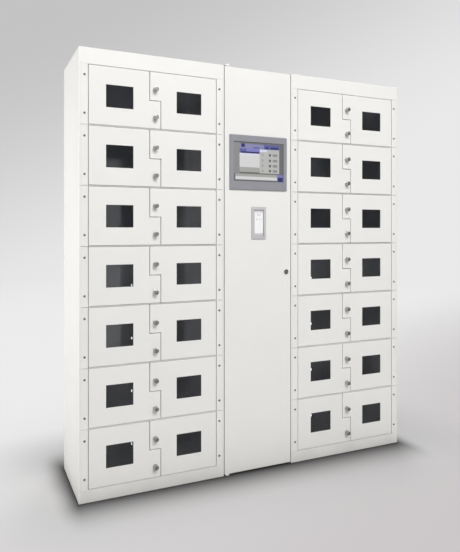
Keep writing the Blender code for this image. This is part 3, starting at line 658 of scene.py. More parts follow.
CARCASS = powder_coat("carcass_white", (0.845, 0.835, 0.805), (0.825, 0.815, 0.79), low_darkening=True)
DOOR = powder_coat("door_white", (0.845, 0.835, 0.805), (0.82, 0.815, 0.79))
INNER_WHITE = powder_coat("inner_white", (0.835, 0.827, 0.800), (0.81, 0.803, 0.78))
STEEL = bright_metal("pivot_steel", (0.70, 0.70, 0.69), 0.34, (1.0, 12.0, 12.0))
CHROME = bright_metal("lock_chrome", (0.42, 0.42, 0.43), 0.20, (1.0, 14.0, 1.0))
PIVOT = bright_metal("pivot_plate", (0.90, 0.90, 0.89), 0.55, (1.0, 12.0, 12.0), (0.74, 0.73, 0.72))
PLUG = bright_metal("plug_steel", (0.29, 0.29, 0.295), 0.42, (8.0, 1.0, 8.0), (0.16, 0.16, 0.16))
SCREW = bright_metal("screw_steel", (0.22, 0.22, 0.22), 0.42, tarnish=(0.10, 0.10, 0.10))
ACRYLIC = smoked_acrylic()
OUTLET = moulded("outlet_plastic", (0.82, 0.82, 0.81), (0.76, 0.76, 0.75), 0.32)
STATUS = lit("outlet_light", (0.86, 0.88, 0.90), (0.80, 0.82, 0.85), STATUS_GLOW)
PORT = moulded("outlet_ports", (0.025, 0.025, 0.028), (0.04, 0.04, 0.045), 0.4)
BEZEL = moulded("bezel_grey", (0.275, 0.275, 0.305), (0.25, 0.25, 0.28), 0.42)
BORDER = lit("screen_border", (0.135, 0.135, 0.140), (0.12, 0.12, 0.125), glow=0.0)
CASE = bright_metal("case_metal", (0.48, 0.49, 0.50), 0.40, (10.0, 1.0, 1.0))
READER_GREY = moulded("reader_grey", (0.52, 0.52, 0.53), (0.49, 0.49, 0.50), 0.42)
READER_FLOOR = moulded("reader_pocket", (0.66, 0.64, 0.68), (0.62, 0.60, 0.64), 0.36)
READER_WHITE = moulded("reader_white", (0.93, 0.93, 0.93), (0.91, 0.91, 0.91), 0.28, 0.00004)
READER_MARK = moulded("reader_marks", (0.60, 0.58, 0.60), (0.66, 0.64, 0.66), 0.4, 0.00003)
SUPPLY = bright_metal("supply_metal", (0.56, 0.57, 0.58), 0.38, (1.0, 1.0, 10.0))
BLACK = moulded("inlet_black", (0.020, 0.020, 0.022), (0.032, 0.032, 0.034), 0.42)


# Cabinets
def bank_carcass(side):
    """Folded cabinet with a sunk seat for the row flanges, and slots behind the joints of the flanges."""
    seat = ROW_LOW.y + SHEET + SEAT_GAP
    wall = BANK_HALF - SHEET
    opening = FLANGE_HALF - SEAT_LAP
    seat_half = FLANGE_HALF + SEAT_GAP
    lap_middle = (FLANGE_HALF + opening) / 2
    rows = (LAST_ROW_LOW.z - STACK_GAP / 2, ROW_HIGH.z + STACK_GAP / 2)
    behind = seat + SHEET + OVER
    reliefs = []
    for row in range(1, ROWS):
        joint = span(rows[1] - row * (2 * ROW_HALF + STACK_GAP), RELIEF_HEIGHT)
        for x in (-lap_middle, lap_middle):
            reliefs.append(block(span(x, RELIEF_WIDTH), (seat - RELIEF_START, behind), joint))
    mesh = worked(
        block((-BANK_HALF, BANK_HALF), (FRONT, BACK), (0, HEIGHT), FOLD),
        cuts=[
            block((-wall, wall), (seat + SHEET, BACK + OVER), (SHEET, HEIGHT - SHEET)),
            block((-opening, opening), (FRONT - OVER, behind), rows),
            block((-seat_half, seat_half), (FRONT - OVER, seat), rows),
            gathered(*reliefs),
        ],
    )
    name = f"{side}_bank_carcass"
    piece(f"{name}_shell", mesh, CARCASS, "cabinet", [name], (BANK_CENTRES[side], 0, 0))


def tower_carcass():
    """Folded cabinet behind the tower door, with one folded edge for the lock cam."""
    x, y, z = spans("tower_carcass")
    inside = grown(z, -SHEET)
    mesh = worked(
        block(x, y, z, CUT_FOLD),
        cuts=[
            block(grown(x, -SHEET), (y[0] + SHEET, y[1] + OVER), inside),
            block((x[0] + SHEET, x[1] - CAM_EDGE), (y[0] - OVER, y[0] + SHEET + OVER), inside),
        ],
    )
    piece("tower_carcass_shell", mesh, CARCASS, "cabinet", ["tower_carcass"])


def carried_over():
    """Pieces whose own shape is right: broken edges and a finish."""
    for node, material, slot, body in (
        ("touch_panel_case", CASE, "case_metal", "tower_door"),
        ("power_supply", SUPPLY, "supply_metal", "cabinet"),
        ("mains_inlet", BLACK, "inlet_black", "cabinet"),
    ):
        piece(f"{node}_finish", softened(node), material, body, [node])


def back_panels():
    """Sheets with a low and a high group of vents, screwed to the rear edges."""
    for node in ("left_bank_back_panel", "right_bank_back_panel", "tower_back_panel"):
        x, y, z = spans(node)
        half = (x[1] - x[0]) / 2
        place = (sum(x) / 2, 0, 0)
        through = grown(y, OVER)
        holes = []
        for group in (VENT_LOW, HEIGHT - VENT_HIGH):
            for index in range(VENT_COUNT):
                middle = group + (index - (VENT_COUNT - 1) / 2) * VENT_PITCH
                holes.append(block(span(0, VENT_WIDTH), through, span(middle, VENT_HEIGHT)))
        if node == "tower_back_panel":
            holes.append(inlet_hole(through))
        mesh = worked(block((-half, half), y, z), cuts=[gathered(*holes)])
        piece(f"{node}_sheet", mesh, CARCASS, "cabinet", [node], place)
        screws = panel_screws(half - PANEL_SCREW_INSET, y[1])
        piece(f"{node}_screws", screws, SCREW, "cabinet", (), place)


def panel_screws(half, seat):
    """Screws down both sides of a back panel, looking towards +Y."""
    head = screw_head()
    head.transform(Matrix.Rotation(math.pi, 4, "Z"))
    return gathered(*[shifted(head.copy(), x, seat, z) for x in (-half, half) for z in PANEL_SCREW_HEIGHTS])


def inlet_hole(through):
    """Cutter for the hole that the mains inlet sits in."""
    x, _, z = spans("mains_inlet")
    lap = INLET_LAP - SEAT_GAP
    return block(grown(x, -lap), through, grown(z, -lap))


def inlet_contacts():
    """Three blades inside the mains inlet."""
    _, y, z = spans("mains_inlet")
    depth = stepped(y[1], BLADE_DEPTH)
    blades = [
        block(span(x, BLADE_WIDTH), depth, span(sum(z) / 2 + rise, BLADE_HEIGHT), SMALL_EDGE, EDGE_STEPS)
        for x, rise in BLADE_PLACES
    ]
    piece("mains_inlet_contacts", gathered(*blades), STEEL, "cabinet", ())


def supply_terminals():
    """Terminal strip with its screws on the ledge of the power supply."""
    x, y, z = spans("power_supply")
    left, right = grown(x, -STRIP_INSET)
    depth = stepped(y[0], STRIP_DEPTH)
    rise = stepped(z[0], STRIP_RISE)
    strip = worked(block((left, right), depth, rise, PLATE_EDGE, EDGE_STEPS), edge=0.0)
    piece("power_supply_terminals", strip, BLACK, "cabinet", ())
    head = screw_head()
    pitch = (right - left) / TERMINALS
    heads = [
        shifted(head.copy(), left + (index + 0.5) * pitch, depth[0], sum(rise) / 2)
        for index in range(TERMINALS)
    ]
    piece("power_supply_terminal_screws", gathered(*heads), STEEL, "cabinet", ())


def screw_head():
    """Pan head with a cross recess, looking towards -Y, its seat at y = 0."""
    head = turned([(r * SCREW_RADIUS, -rise * SCREW_HEAD) for r, rise in SCREW_DOME], SCREW_STEPS)
    long, thin = SCREW_RADIUS * RECESS_REACH, SCREW_RADIUS * RECESS_HALF
    depth = (-OVER, -SCREW_HEAD * RECESS_FLOOR)
    cross = worked(
        block((-long, long), depth, (-thin, thin)),
        joins=[block((-thin, thin), depth, (-long, long))],
        edge=0.0,
    )
    return worked(head, cuts=[cross], edge=0.0)


def row_box():
    """Two compartments with the latch duct between them, and front flanges, about the middle of a row."""
    front, rear = ROW_LOW.y, ROW_HIGH.y
    side = FLANGE_HALF + SEAT_GAP - FLANGE
    flange = ROW_HALF - FLANGE_SHORT
    well = front + DOOR_DEPTH + WELL_CLEARANCE
    duct = DUCT_HALF - SHEET
    inside = (SHEET - ROW_HALF, ROW_HALF - SHEET)
    cuts = [
        block((-side, side), (front - OVER, well), inside),
        block((-side, -DUCT_HALF), (well - OVER, rear - SHEET), inside),
        block((DUCT_HALF, side), (well - OVER, rear - SHEET), inside),
        block((-duct, duct), (well + SHEET, rear + OVER), inside),
    ]
    for z in (LOWER_LOCK_Z, UPPER_LOCK_Z):
        slot_x = grown(span(0, STRIKE_WIDTH), STRIKE_CLEARANCE)
        slot_z = grown(span(z, STRIKE_HEIGHT), STRIKE_CLEARANCE)
        cuts.append(block(slot_x, (well - OVER, well + SHEET + OVER), slot_z))
    for x in (-PIVOT_X, PIVOT_X):
        hole = rod(PIN_RADIUS + PIN_CLEARANCE, -ROW_HALF - OVER, ROW_HALF + OVER)
        cuts.append(shifted(hole, x, front + PIVOT_BACK))
    return worked(
        block((-side - SHEET, side + SHEET), (front, rear), (-ROW_HALF, ROW_HALF)),
        cuts=cuts,
        joins=[block((-FLANGE_HALF, FLANGE_HALF), (front, front + SHEET), (-flange, flange))],
    )


def row_boxes():
    """The row boxes with their flange screws and charging outlets."""
    box_mesh = row_box()
    head = screw_head()
    side = BANK_HALF - SCREW_FROM_SIDE
    screws = gathered(
        *[
            shifted(head.copy(), across, ROW_LOW.y - CONTACT, rise)
            for across in (-side, side)
            for rise in (-SCREW_RISE, SCREW_RISE)
        ]
    )
    cover, ports, lamp = outlet()
    for index in range(2 * ROWS):
        name = f"row_box_{index + 1:02d}"
        x, y, z = spans(name)
        place = (sum(x) / 2, 0, sum(z) / 2)
        piece(f"{name}_shell", box_mesh, INNER_WHITE, "cabinet", [name], place)
        piece(f"{name}_screws", screws, SCREW, "cabinet", (), place)
        for number, across, turn in ((2 * index + 1, -DUCT_HALF, math.pi), (2 * index + 2, DUCT_HALF, 0.0)):
            spot = (place[0] + across, y[1] - OUTLET_FROM_BACK, z[0] + SHEET + OUTLET_RISE)
            for label, mesh, material in (
                ("outlet", cover, OUTLET), ("outlet_ports", ports, PORT), ("outlet_light", lamp, STATUS)
            ):
                piece(f"{label}_{number:02d}", mesh, material, "cabinet", (), spot, turn)


def outlet():
    """Outlet cover that faces +X from the duct wall, the dark inside of its two ports, and its light."""
    front = OUTLET_PROUD + OUTLET_SKIN
    across = grown(span(0, OUTLET_WIDTH), OUTLET_SKIN)
    rise = grown(span(0, OUTLET_HEIGHT), OUTLET_SKIN)
    cover = block((-OUTLET_SUNK, front), across, rise, OUTLET_EDGE)
    mouth = (OUTLET_PROUD - PORT_DEPTH, OUTLET_PROUD + OVER)
    floor = stepped(OUTLET_PROUD, PORT_FLOOR)
    across = span(0, PORT_WIDTH)
    slots = []
    floors = []
    for z in (-PORT_RISE, PORT_RISE):
        rise = span(z, PORT_HEIGHT)
        slots.append(block(mouth, across, rise))
        floors.append(block(floor, grown(across, PORT_FLOOR_LAP), grown(rise, PORT_FLOOR_LAP), EDGE))
    lamp = block(stepped(front, LAMP_DEPTH), LAMP_SPAN, span(0, LAMP_HEIGHT), LAMP_EDGE)
    return worked(cover, cuts=slots, edge=SMALL_EDGE), gathered(*floors), lamp


# Locker doors
def door_outline(tab_below, inset):
    """Outline of a left door about its pivot, with its lock tab below or above."""
    reach = PIVOT_X - SEAM_GAP / 2 - inset
    hinge, half = -PIVOT_IN + inset, DOOR_HALF - inset
    if tab_below:
        step, low, high = STEP_Z - SEAM_GAP / 2 - inset, reach + SEAM_SHIFT, reach - SEAM_SHIFT
    else:
        step, low, high = STEP_Z + SEAM_GAP / 2 + inset, reach - SEAM_SHIFT, reach + SEAM_SHIFT
    return [(hinge, -half), (low, -half), (low, step), (high, step), (high, half), (hinge, half)]


def door_skin(tab_below):
    """Folded pan with its window: a left door with its tab below, or a right door with its tab above."""
    rear = FACE + DOOR_DEPTH
    window = (WINDOW_LEFT, WINDOW_LEFT + WINDOW_WIDTH)
    shapes = [
        plate(door_outline(tab_below, 0.0), FACE, rear, FOLD),
        plate(door_outline(tab_below, SHEET), INNER, rear + OVER),
        block(window, (FACE - OVER, INNER + OVER), span(0, WINDOW_HEIGHT)),
    ]
    if not tab_below:
        shapes = [mirrored(shape) for shape in shapes]
    return worked(shapes[0], cuts=shapes[1:])


def door_pane(right_hand):
    """Flat pane behind the window of a left or right door."""
    depth = (INNER + CONTACT, INNER + PANE)
    pane = block(PANE_SPAN, depth, (-PANE_HALF, PANE_HALF), SMALL_EDGE, EDGE_STEPS)
    return worked(mirrored(pane) if right_hand else pane, edge=0.0)


def lock_barrel():
    """Plated barrel with a base ring, a waist, a chamfered nose and a sunk face."""
    nose = FACE - LOCK_REACH
    lip = profile(LOCK_BORE, nose, LOCK_LIP)
    brow = profile(LOCK_SHANK, nose, LOCK_NOSE)
    waist = profile(LOCK_SHANK, FACE, LOCK_WAIST)
    ring = profile(LOCK_RADIUS, FACE, LOCK_RING)
    return turned([*lip, *brow, *waist, *ring, (LOCK_BORE, ring[-1][1]), lip[0]])


def keyway(front, width, depth, height):
    """Cutter of a key slot in the front of a plug."""
    return block(span(0, width), (front - OVER, front + depth), span(0, height))


def lock_plug():
    """Dark key face inside the barrel, with its keyway."""
    nose = FACE - LOCK_REACH
    front = nose + KEY_FACE_SUNK
    radius = LOCK_BORE - KEY_FACE_PLAY
    points = [*profile(radius, front, KEY_FACE_BROW), (radius, nose + KEY_FACE_END)]
    return worked(spindle(points), cuts=[keyway(front, *KEYWAY)], edge=FINE_EDGE)


def door_fittings():
    """Lock nut and strike behind the door, about the lock's height."""
    nut = spindle(profile(0.0, INNER, LOCK_NUT), LOCK_NUT_SIDES)
    tip = FACE + STRIKE_LENGTH
    depth = (INNER + STRIKE_ROOT, tip)
    strike = worked(
        block(span(PIVOT_X, STRIKE_WIDTH), depth, span(0, STRIKE_HEIGHT), SOFT_EDGE, EDGE_STEPS),
        cuts=[block(span(PIVOT_X, 2 * STRIKE_WIDTH), stepped(tip, STRIKE_EYE), span(0, STRIKE_HEIGHT / 2))],
        edge=SMALL_EDGE,
    )
    return gathered(shifted(nut, PIVOT_X), strike)


def pane_clips():
    """Clips on weld studs that hold the pane, and the pivot pins of the door."""
    seat = INNER + PANE
    depth = (seat + CONTACT, seat + CONTACT + CLIP_SHEET)
    made = []
    for x, outward in zip(PANE_SPAN, (-1, 1)):
        across = sorted((x + outward * CLIP_OUT, x - outward * CLIP_IN))
        for z in (-PANE_HALF * CLIP_RISE, PANE_HALF * CLIP_RISE):
            made.append(block(across, depth, span(z, CLIP_WIDTH), CLIP_EDGE, EDGE_STEPS))
            stud = spindle(profile(0.0, seat, STUD), STUD_STEPS)
            made.append(shifted(stud, x + outward * STUD_OUT, 0, z))
    tip = ROW_HALF - SEAT_GAP
    root = DOOR_HALF - SHEET / 2
    for low, high in ((-tip, -root), (root, tip)):
        made.append(rod(PIN_RADIUS, low, high, PIN_CHAMFER, DOOR_PIN_STEPS))
    return gathered(*made)


def locker_doors():
    """All doors of both banks: odd ones hang on the left, with the lock tab below."""
    barrel, plug = lock_barrel(), lock_plug()
    fittings, clips = door_fittings(), pane_clips()
    left = (door_skin(True), door_pane(False), clips, fittings, PIVOT_X, LOWER_LOCK_Z)
    right = (door_skin(False), door_pane(True), mirrored(clips), mirrored(fittings), -PIVOT_X, UPPER_LOCK_Z)
    for number in range(1, 4 * ROWS + 1):
        node = f"locker_door_{number:02d}"
        skin, pane, clip_mesh, strike, lock_x, lock_z = left if number % 2 else right
        pivot = PIVOTS[node]
        lock = pivot + Vector((lock_x, 0, lock_z))
        for label, mesh, material, slot, place in (
            ("skin", skin, DOOR, "door_white", pivot),
            ("pane", pane, ACRYLIC, "window_acrylic", pivot),
            ("clips", clip_mesh, STEEL, "pivot_steel", pivot),
            ("lock", barrel, CHROME, "lock_chrome", lock),
            ("key_face", plug, PLUG, "plug_steel", lock),
            ("strike", strike, STEEL, "pivot_steel", pivot + Vector((0, 0, lock_z))),
        ):
            piece(f"{node}_{label}", mesh, material, node, [node], place)


# Tower
def tower_door():
    """Full-height pan with cut-outs for the touch panel, the card reader, the lock and the pivot pins."""
    x, y, z = spans("tower_door")
    lock, axis = PIVOTS["tower_lock"], PIVOTS["tower_door"]
    through = span(FRONT, CUTOUT_DEPTH)
    cuts = [plate(rectangle(grown(x, -SHEET), grown(z, -SHEET)), FRONT + SHEET, y[1] + OVER)]
    for node in ("touch_panel_case", "card_reader_face"):
        across, _, rise = spans(node)
        cuts.append(block(grown(across, CUTOUT_MARGIN), through, grown(rise, CUTOUT_MARGIN)))
    lock_hole = rod(TOWER_LOCK_HOLE, *through, steps=ROUND_STEPS, axis="Y")
    cuts.append(shifted(lock_hole, lock.x, 0, lock.z))
    for end in z:
        pin_hole = rod(TOWER_PIN_RADIUS + PIN_CLEARANCE, end - OVER, end + OVER)
        cuts.append(shifted(pin_hole, axis.x, axis.y))
    mesh = worked(plate(rectangle(x, z), FRONT, y[1], FOLD), cuts=cuts)
    piece("tower_door_skin", mesh, DOOR, "tower_door", ["tower_door"])


def pivot_bracket(node, rise, pins):
    """A bracket's plate between two heights, with its pins on the axis of the tower door."""
    x, y, _ = spans(node)
    axis = PIVOTS["tower_door"]
    mesh = worked(
        block(x, y, rise, PLATE_EDGE, EDGE_STEPS), joins=[shifted(pin, axis.x, axis.y) for pin in pins]
    )
    piece(f"{node}_bracket", mesh, PIVOT, "cabinet", [node])


def tower_pivots():
    """Pivot brackets: the upper one with a round-headed pin, the lower one with a collar under the door."""
    low, high = (corner.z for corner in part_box("tower_top_pivot"))
    plate_top = high - PIN_HEAD_HEIGHT
    sunk = plate_top - PIN_SUNK
    head = [(PIN_HEAD_RADIUS, sunk), *profile(PIN_HEAD_RADIUS, high, PIN_HEAD_BROW)]
    pins = [rod(TOWER_PIN_RADIUS, low, sunk), spindle(head, PIN_STEPS, "Z")]
    pivot_bracket("tower_top_pivot", (HEIGHT + SEAT_GAP, plate_top), pins)
    low, high = (corner.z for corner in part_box("tower_bottom_pivot"))
    sunk = low + BRACKET_SHEET - PIN_SUNK
    collar = rod(PIN_HEAD_RADIUS, sunk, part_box("tower_door")[0].z - SEAT_GAP)
    pins = [rod(TOWER_PIN_RADIUS, sunk, high), collar]
    pivot_bracket("tower_bottom_pivot", (low, low + BRACKET_SHEET), pins)


def front_frame(node, openings, radius, steps=FOLD_STEPS):
    """A frame on the tower door, rounded in front and flat at the back."""
    x, y, z = spans(node)
    body = block(x, (y[0], y[1] + OVER), z, radius, steps)
    behind = block(grown(x, OVER), (y[1], y[1] + 2 * OVER), grown(z, OVER))
    return worked(body, cuts=[*openings, behind], edge=SOFT_EDGE, steps=FOLD_STEPS)


def touch_panel():
    """Bezel with soft edges, and the display with a generic screen layout."""
    x, y, z = spans("touch_panel_screen")
    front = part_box("touch_panel_bezel")[0].y
    shown_x, shown_z = grown(x, -BEZEL_LAP), grown(z, -BEZEL_LAP)
    openings = [
        block(shown_x, (front - OVER, FRONT + OVER), shown_z),
        block(grown(x, SEAT_GAP), (y[0] - SEAT_GAP, FRONT + 2 * OVER), grown(z, SEAT_GAP)),
    ]
    bezel = front_frame("touch_panel_bezel", openings, BEZEL_RADIUS, BEZEL_STEPS)
    piece("touch_panel_frame", bezel, BEZEL, "tower_door", ["touch_panel_bezel"])
    glass = worked(block(x, y, z, SMALL_EDGE, EDGE_STEPS), edge=0.0)
    piece("touch_panel_display", glass, BORDER, "tower_door", ["touch_panel_screen"])
    screen_layout(shown_x, y[0], shown_z)


def screen_layout(x, front, z):
    """Lit areas of the display, placed by shares of its width and height from the lower left corner."""
    navy = lit("screen_navy", (0.010, 0.010, 0.095), (0.014, 0.014, 0.11))
    blue = lit("screen_blue", (0.080, 0.086, 0.28), (0.09, 0.097, 0.31))
    lavender = lit("screen_lavender", (0.205, 0.205, 0.375), (0.19, 0.19, 0.35))
    bright = lit("screen_bright_blue", (0.165, 0.165, 0.44), (0.18, 0.18, 0.47))
    pale = lit("screen_pale", (0.58, 0.58, 0.58), (0.55, 0.55, 0.56))
    tinted = lit("screen_tinted", (0.60, 0.60, 0.72), (0.57, 0.57, 0.69))
    soft = lit("screen_soft", (0.42, 0.42, 0.41), (0.40, 0.40, 0.39))
    grey = lit("screen_grey", (0.32, 0.325, 0.30), (0.30, 0.305, 0.285))
    mid = lit("screen_mid", (0.22, 0.22, 0.22), (0.20, 0.20, 0.20))
    dark = lit("screen_dark", (0.075, 0.075, 0.080), (0.06, 0.06, 0.065))
    layout = [  # name, material, layer, left, right, bottom, top
        ("left_margin", mid, 0, 0.0, 0.118, 0.195, 0.97),
        ("header", lavender, 0, 0.118, 0.913, 0.830, 0.950),
        ("header_right", blue, 1, 0.600, 0.913, 0.836, 0.950),
        ("header_mark", navy, 2, 0.150, 0.220, 0.862, 0.950),
        ("header_word_1", blue, 2, 0.390, 0.510, 0.846, 0.880),
        ("header_word_2", navy, 2, 0.630, 0.695, 0.846, 0.894),
        ("header_word_3", navy, 2, 0.735, 0.895, 0.846, 0.894),
        ("subheader", bright, 0, 0.118, 0.513, 0.752, 0.830),
        ("subheader_mark", blue, 1, 0.118, 0.250, 0.756, 0.826),
        ("rule", navy, 1, 0.145, 0.513, 0.712, 0.756),
        ("list", pale, 0, 0.118, 0.513, 0.358, 0.715),
        ("list_head", tinted, 1, 0.125, 0.505, 0.660, 0.708),
        ("list_foot", grey, 0, 0.118, 0.513, 0.235, 0.358),
        ("keypad", soft, 0, 0.513, 0.913, 0.218, 0.830),
        ("keypad_head", tinted, 1, 0.518, 0.660, 0.765, 0.825),
        ("bar", grey, 0, 0.035, 0.870, 0.040, 0.190),
        ("bar_field", pale, 1, 0.040, 0.865, 0.044, 0.122),
        ("button", bright, 0, 0.870, 0.990, 0.005, 0.190),
        ("button_face", navy, 1, 0.882, 0.985, 0.012, 0.128),
    ]
    columns = ((grey, 0.553, 0.594), (dark, 0.702, 0.742), (mid, 0.780, 0.872))
    rows = (0.690, 0.550, 0.414, 0.283)
    for row, middle in enumerate(rows):
        for column, (material, start, end) in enumerate(columns):
            name = f"key_{row * len(columns) + column + 1:02d}"
            layout.append((name, material, 1, start, end, *span(middle, KEY_HEIGHT)))
    width, height = x[1] - x[0], z[1] - z[0]
    for name, material, layer, left, right, bottom, top in layout:
        across = (x[0] + left * width, x[0] + right * width)
        depth = (front - SCREEN_LAYER * (layer + 1), front + SCREEN_ROOT)
        area = block(across, depth, (z[0] + bottom * height, z[0] + top * height), SCREEN_EDGE, 1)
        piece(f"screen_{name}", area, material, "tower_door", ())


def card_reader():
    """Frame round a pocket, with a white pad that carries generic marks."""
    x, y, z = spans("card_reader_face")
    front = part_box("card_reader_frame")[0].y
    opening = block(grown(x, SEAT_GAP), (front - OVER, FRONT + OVER), grown(z, SEAT_GAP))
    rim = front_frame("card_reader_frame", [opening], READER_RADIUS)
    piece("card_reader_surround", rim, READER_GREY, "tower_door", ["card_reader_frame"])
    floor = y[0] + POCKET_DEPTH
    pocket_x, pocket_z = grown(x, -POCKET_RIM), grown(z, -POCKET_RIM)
    pocket = block(pocket_x, (y[0] - OVER, floor), pocket_z)
    body = worked(block(x, y, z, SMALL_EDGE, EDGE_STEPS), cuts=[pocket], edge=FINE_EDGE)
    piece("card_reader_body", body, READER_GREY, "tower_door", ["card_reader_face"])
    lining = block(pocket_x, stepped(floor, LINING_DEPTH), pocket_z, FINE_EDGE, EDGE_STEPS)
    piece("card_reader_lining", lining, READER_FLOOR, "tower_door", ())
    middle = sum(x) / 2
    top = z[1] - READER_PAD_TOP
    pad_front = floor - READER_PAD_PROUD
    pad_z = (z[0] + READER_PAD_DROP, top)
    pad = block(span(middle, READER_PAD_WIDTH), (pad_front, floor), pad_z, READER_PAD_EDGE)
    piece("card_reader_pad", worked(pad, edge=0.0), READER_WHITE, "tower_door", ())
    mark_depth = stepped(pad_front, MARK_DEPTH)
    marks = [
        block(span(middle + across, width), mark_depth, (top - drop - tall, top - drop), MARK_EDGE, 1)
        for across, width, drop, tall in READER_MARKS
    ]
    piece("card_reader_marks", gathered(*marks), READER_MARK, "tower_door", ())


def tower_lock():
    """Plated barrel with a collar and a dark ring, and the plug with keyway and cam."""
    lock = PIVOTS["tower_lock"]
    place = (lock.x, 0, lock.z)
    collar, end = (corner.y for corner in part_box("tower_lock_barrel"))
    seat = FRONT - SEAT_GAP
    lip = profile(TOWER_LOCK_BORE, collar, TOWER_LOCK_LIP)
    brow = profile(TOWER_LOCK_RADIUS, collar, TOWER_LOCK_BROW)
    shank = [(TOWER_LOCK_RADIUS, seat), (TOWER_LOCK_SHANK, seat), (TOWER_LOCK_SHANK, end)]
    barrel = shifted(turned([*lip, *brow, *shank, (TOWER_LOCK_BORE, end), lip[0]]), *place)
    piece("tower_lock_body", barrel, CHROME, "tower_door", ["tower_lock_barrel"])
    ring = shifted(turned(profile(0.0, collar, TOWER_RING)), *place)
    piece("tower_lock_ring", ring, BLACK, "tower_door", ())
    _, y, z = spans("tower_lock_plug")
    cam_front = end + SEAT_GAP
    stem = [*profile(TOWER_PLUG_RADIUS, y[0], TOWER_PLUG_NOSE), (TOWER_PLUG_RADIUS, cam_front + PLUG_IN_CAM)]
    cam = block((-CAM_HALF, CAM_HALF), (cam_front, y[1]), (z[0] - lock.z, CAM_HALF), PLATE_EDGE, EDGE_STEPS)
    plug = worked(spindle(stem), cuts=[keyway(y[0], *TOWER_KEYWAY)], joins=[cam], edge=FINE_EDGE)
    piece("tower_lock_key_plug", plug, PLUG, "tower_lock", ["tower_lock_plug"], place)


# Stage, lights and camera
BACKDROP_AXIS = (0.44, -0.20, -1.0)  # the background grows paler along this direction
BACKDROP_TURN = (-0.47, 0.0)
BACKDROP_GREYS = (0.55, 0.82)
CAMERA_SIDE = (-0.8, 0.1)  # in mirrors the background dims towards -Y
CAMERA_SIDE_SHARE = 0.42
AMBIENT = 0.35
FLOOR_RADIUS = 40.0
FLOOR_SIDES = 96
FLOOR_ROUGHNESS = 0.85
FLOOR_GREY = (0.56, 0.555, 0.555)
FLOOR_PAINTED_SHADOW = (0.035, 0.034, 0.034)  # painted shadow: the floor's colour darkened under the kiosk's edges
FLOOR_PAINTED_SHADOW_REACH = 0.28
FLOOR_PAINTED_SHADOW_SQUEEZE = (2.6, 1.0, 1.0)  # the painted shadow is narrower beside the kiosk
FLOOR_FADE = (0.0, 0.65)  # away from the kiosk's base
FLOOR_AXIS = (-0.5, 0.86, 0.0)  # the floor grows paler along this direction
FLOOR_TURN = (-1.3, 1.8)
FLOOR_FAR = ((0.597, 0.571, 0.578), (0.84, 0.84, 0.84))
FLOOR_HORIZON = (3.0, 12.0)
FLOOR_VIEWPOINT = (-1.24, -2.70, 1.14)  # seen from here, floor and background meet without a step


def shown_to(tree, plain, shown):
    """A shader that camera, mirror and glass rays see as shown, and all other rays as plain."""
    seen = shader_node(tree, "LightPath", {}, "Is Camera Ray")
    for kind in ("Is Glossy Ray", "Is Transmission Ray"):
        seen = calculated(tree, "MAXIMUM", seen, shader_node(tree, "LightPath", {}, kind))
    return shader_node(tree, "MixShader", {"Fac": seen, 1: plain, 2: shown}, "Shader")


def backdrop(tree, direction):
    """Grey of the background in a direction."""
    along = vector_step(tree, "DOT_PRODUCT", direction, BACKDROP_AXIS)
    return eased(tree, along, BACKDROP_TURN, BACKDROP_GREYS)


def stage():
    """A wide pale floor."""
    shape = bmesh.new()
    bmesh.ops.create_circle(shape, cap_ends=True, radius=FLOOR_RADIUS, segments=FLOOR_SIDES)
    floor = bpy.data.objects.new("floor", finished(shape))
    bpy.context.scene.collection.objects.link(floor)
    material = bpy.data.materials.new("floor")
    material.use_nodes = True
    floor_finish(material.node_tree)
    floor.data.materials.append(material)


def floor_finish(tree):
    """Matt grey with a painted shadow under the kiosk's edges, seen to fade into the background away from it.
    """
    place = shader_node(tree, "NewGeometry", {}, "Position")
    outside = vector_step(tree, "SUBTRACT", vector_step(tree, "ABSOLUTE", place), (cad_box[1][0], BACK, 0.0))
    outside = vector_step(tree, "MAXIMUM", outside, (0.0, 0.0, 0.0))
    near = vector_step(tree, "LENGTH", vector_step(tree, "MULTIPLY", outside, FLOOR_PAINTED_SHADOW_SQUEEZE))
    # Painted shadow: the floor's own colour darkens towards the kiosk's base.
    contact = eased(tree, near, (-FLOOR_PAINTED_SHADOW_REACH, FLOOR_PAINTED_SHADOW_REACH), (-1.0, 1.0))
    matt = tree.nodes["Principled BSDF"]
    feed(tree, matt.inputs["Base Color"], blended(tree, contact, FLOOR_PAINTED_SHADOW, FLOOR_GREY))
    feed(tree, matt.inputs["Roughness"], FLOOR_ROUGHNESS)
    direction = vector_step(tree, "NORMALIZE", vector_step(tree, "SUBTRACT", place, FLOOR_VIEWPOINT))
    along = eased(tree, vector_step(tree, "DOT_PRODUCT", place, FLOOR_AXIS), FLOOR_TURN)
    reach = eased(tree, vector_step(tree, "LENGTH", place), FLOOR_HORIZON)
    far = blended(tree, reach, blended(tree, along, *FLOOR_FAR), backdrop(tree, direction))
    glow = shader_node(tree, "Emission", {"Color": far}, "Emission")
    away = eased(tree, vector_step(tree, "LENGTH", outside), FLOOR_FADE)
    fade = shader_node(tree, "MixShader", {"Fac": away, 1: matt.outputs["BSDF"], 2: glow}, "Shader")
    surface = shown_to(tree, matt.outputs["BSDF"], fade)
    feed(tree, tree.nodes["Material Output"].inputs["Surface"], surface)


def area_light(name, place, aim, size, watts):
    data = bpy.data.lights.new(name, "AREA")
    data.shape = "RECTANGLE"
    data.size, data.size_y = size
    data.energy = watts
    light = bpy.data.objects.new(name, data)
    light.location = place
    light.visible_camera = False
    light.rotation_euler = (Vector(aim) - Vector(place)).to_track_quat("-Z", "Y").to_euler()
    bpy.context.scene.collection.objects.link(light)


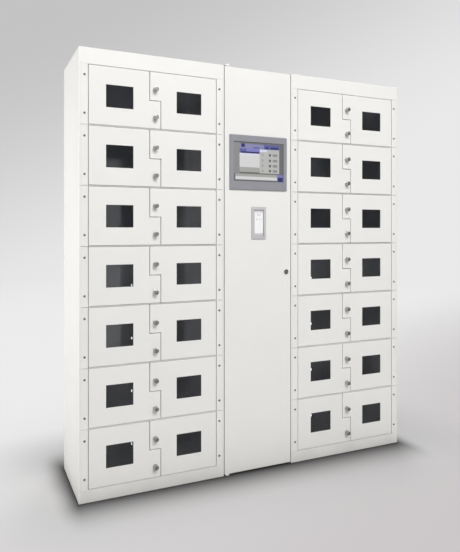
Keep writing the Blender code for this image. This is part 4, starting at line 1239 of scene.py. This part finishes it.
def lights():
    """A high soft key in front, fills at the left and behind, and strips that the panes mirror."""
    area_light("key", place=(0.05, -4.5, 4.4), aim=(0.1, 0.0, 1.2), size=(2.6, 2.0), watts=201)
    area_light("left_fill", place=(-2.9, 0.0, 1.35), aim=(-0.8, 0.0, 1.30), size=(0.9, 0.9), watts=35)
    area_light("rear_fill", place=(2.5, 4.5, 3.0), aim=(0.0, 0.0, 1.0), size=(3.0, 2.5), watts=130)
    area_light("left_strip", place=(-0.08, -3.2, 0.90), aim=(-0.08, 0.0, 0.90), size=(0.26, 1.78), watts=2.4)
    area_light("right_strip", place=(0.87, -3.2, 1.15), aim=(0.87, 0.0, 1.15), size=(0.38, 2.28), watts=2.9)


def surround():
    """Even white light from all round, and the background that is seen instead of it."""
    world = bpy.data.worlds.new("studio")
    bpy.context.scene.world = world
    world.use_nodes = True
    tree = world.node_tree
    ambient = tree.nodes["Background"]
    feed(tree, ambient.inputs["Color"], (1.0, 1.0, 1.0))
    feed(tree, ambient.inputs["Strength"], AMBIENT)
    direction = shader_node(tree, "TexCoord", {}, "Generated")
    grey = backdrop(tree, direction)
    share = eased(tree, axis_of(tree, direction, "Y"), CAMERA_SIDE, (CAMERA_SIDE_SHARE, 1.0))
    mirror = shader_node(tree, "LightPath", {}, "Is Glossy Ray")
    colour = blended(tree, mirror, grey, calculated(tree, "MULTIPLY", grey, share))
    shown = shader_node(tree, "Background", {"Color": colour}, "Background")
    surface = shown_to(tree, ambient.outputs["Background"], shown)
    feed(tree, tree.nodes["World Output"].inputs["Surface"], surface)


def camera():
    """The photograph's view."""
    data = bpy.data.cameras.new("camera")
    data.sensor_width = SENSOR_MM
    data.lens = FOCAL_PX / PHOTO_HEIGHT_PX * SENSOR_MM
    data.shift_x = (PHOTO_WIDTH_PX / 2 - AXIS_PX) / PHOTO_HEIGHT_PX
    data.shift_y = (HORIZON_PX - PHOTO_HEIGHT_PX / 2) / PHOTO_HEIGHT_PX
    view = bpy.data.objects.new("camera", data)
    view.location = (cad_box[0][0] - CAMERA_BESIDE, FRONT - CAMERA_AHEAD, CAMERA_HEIGHT)
    view.rotation_euler = (math.pi / 2, 0, -CAMERA_YAW)
    bpy.context.scene.collection.objects.link(view)
    bpy.context.scene.camera = view


bank_carcass("left")
bank_carcass("right")
tower_carcass()
carried_over()
inlet_contacts()
supply_terminals()
back_panels()
row_boxes()
locker_doors()
tower_door()
tower_pivots()
touch_panel()
card_reader()
tower_lock()
stage()
lights()
surround()
camera()
bpy.context.scene.view_settings.view_transform = "Standard"
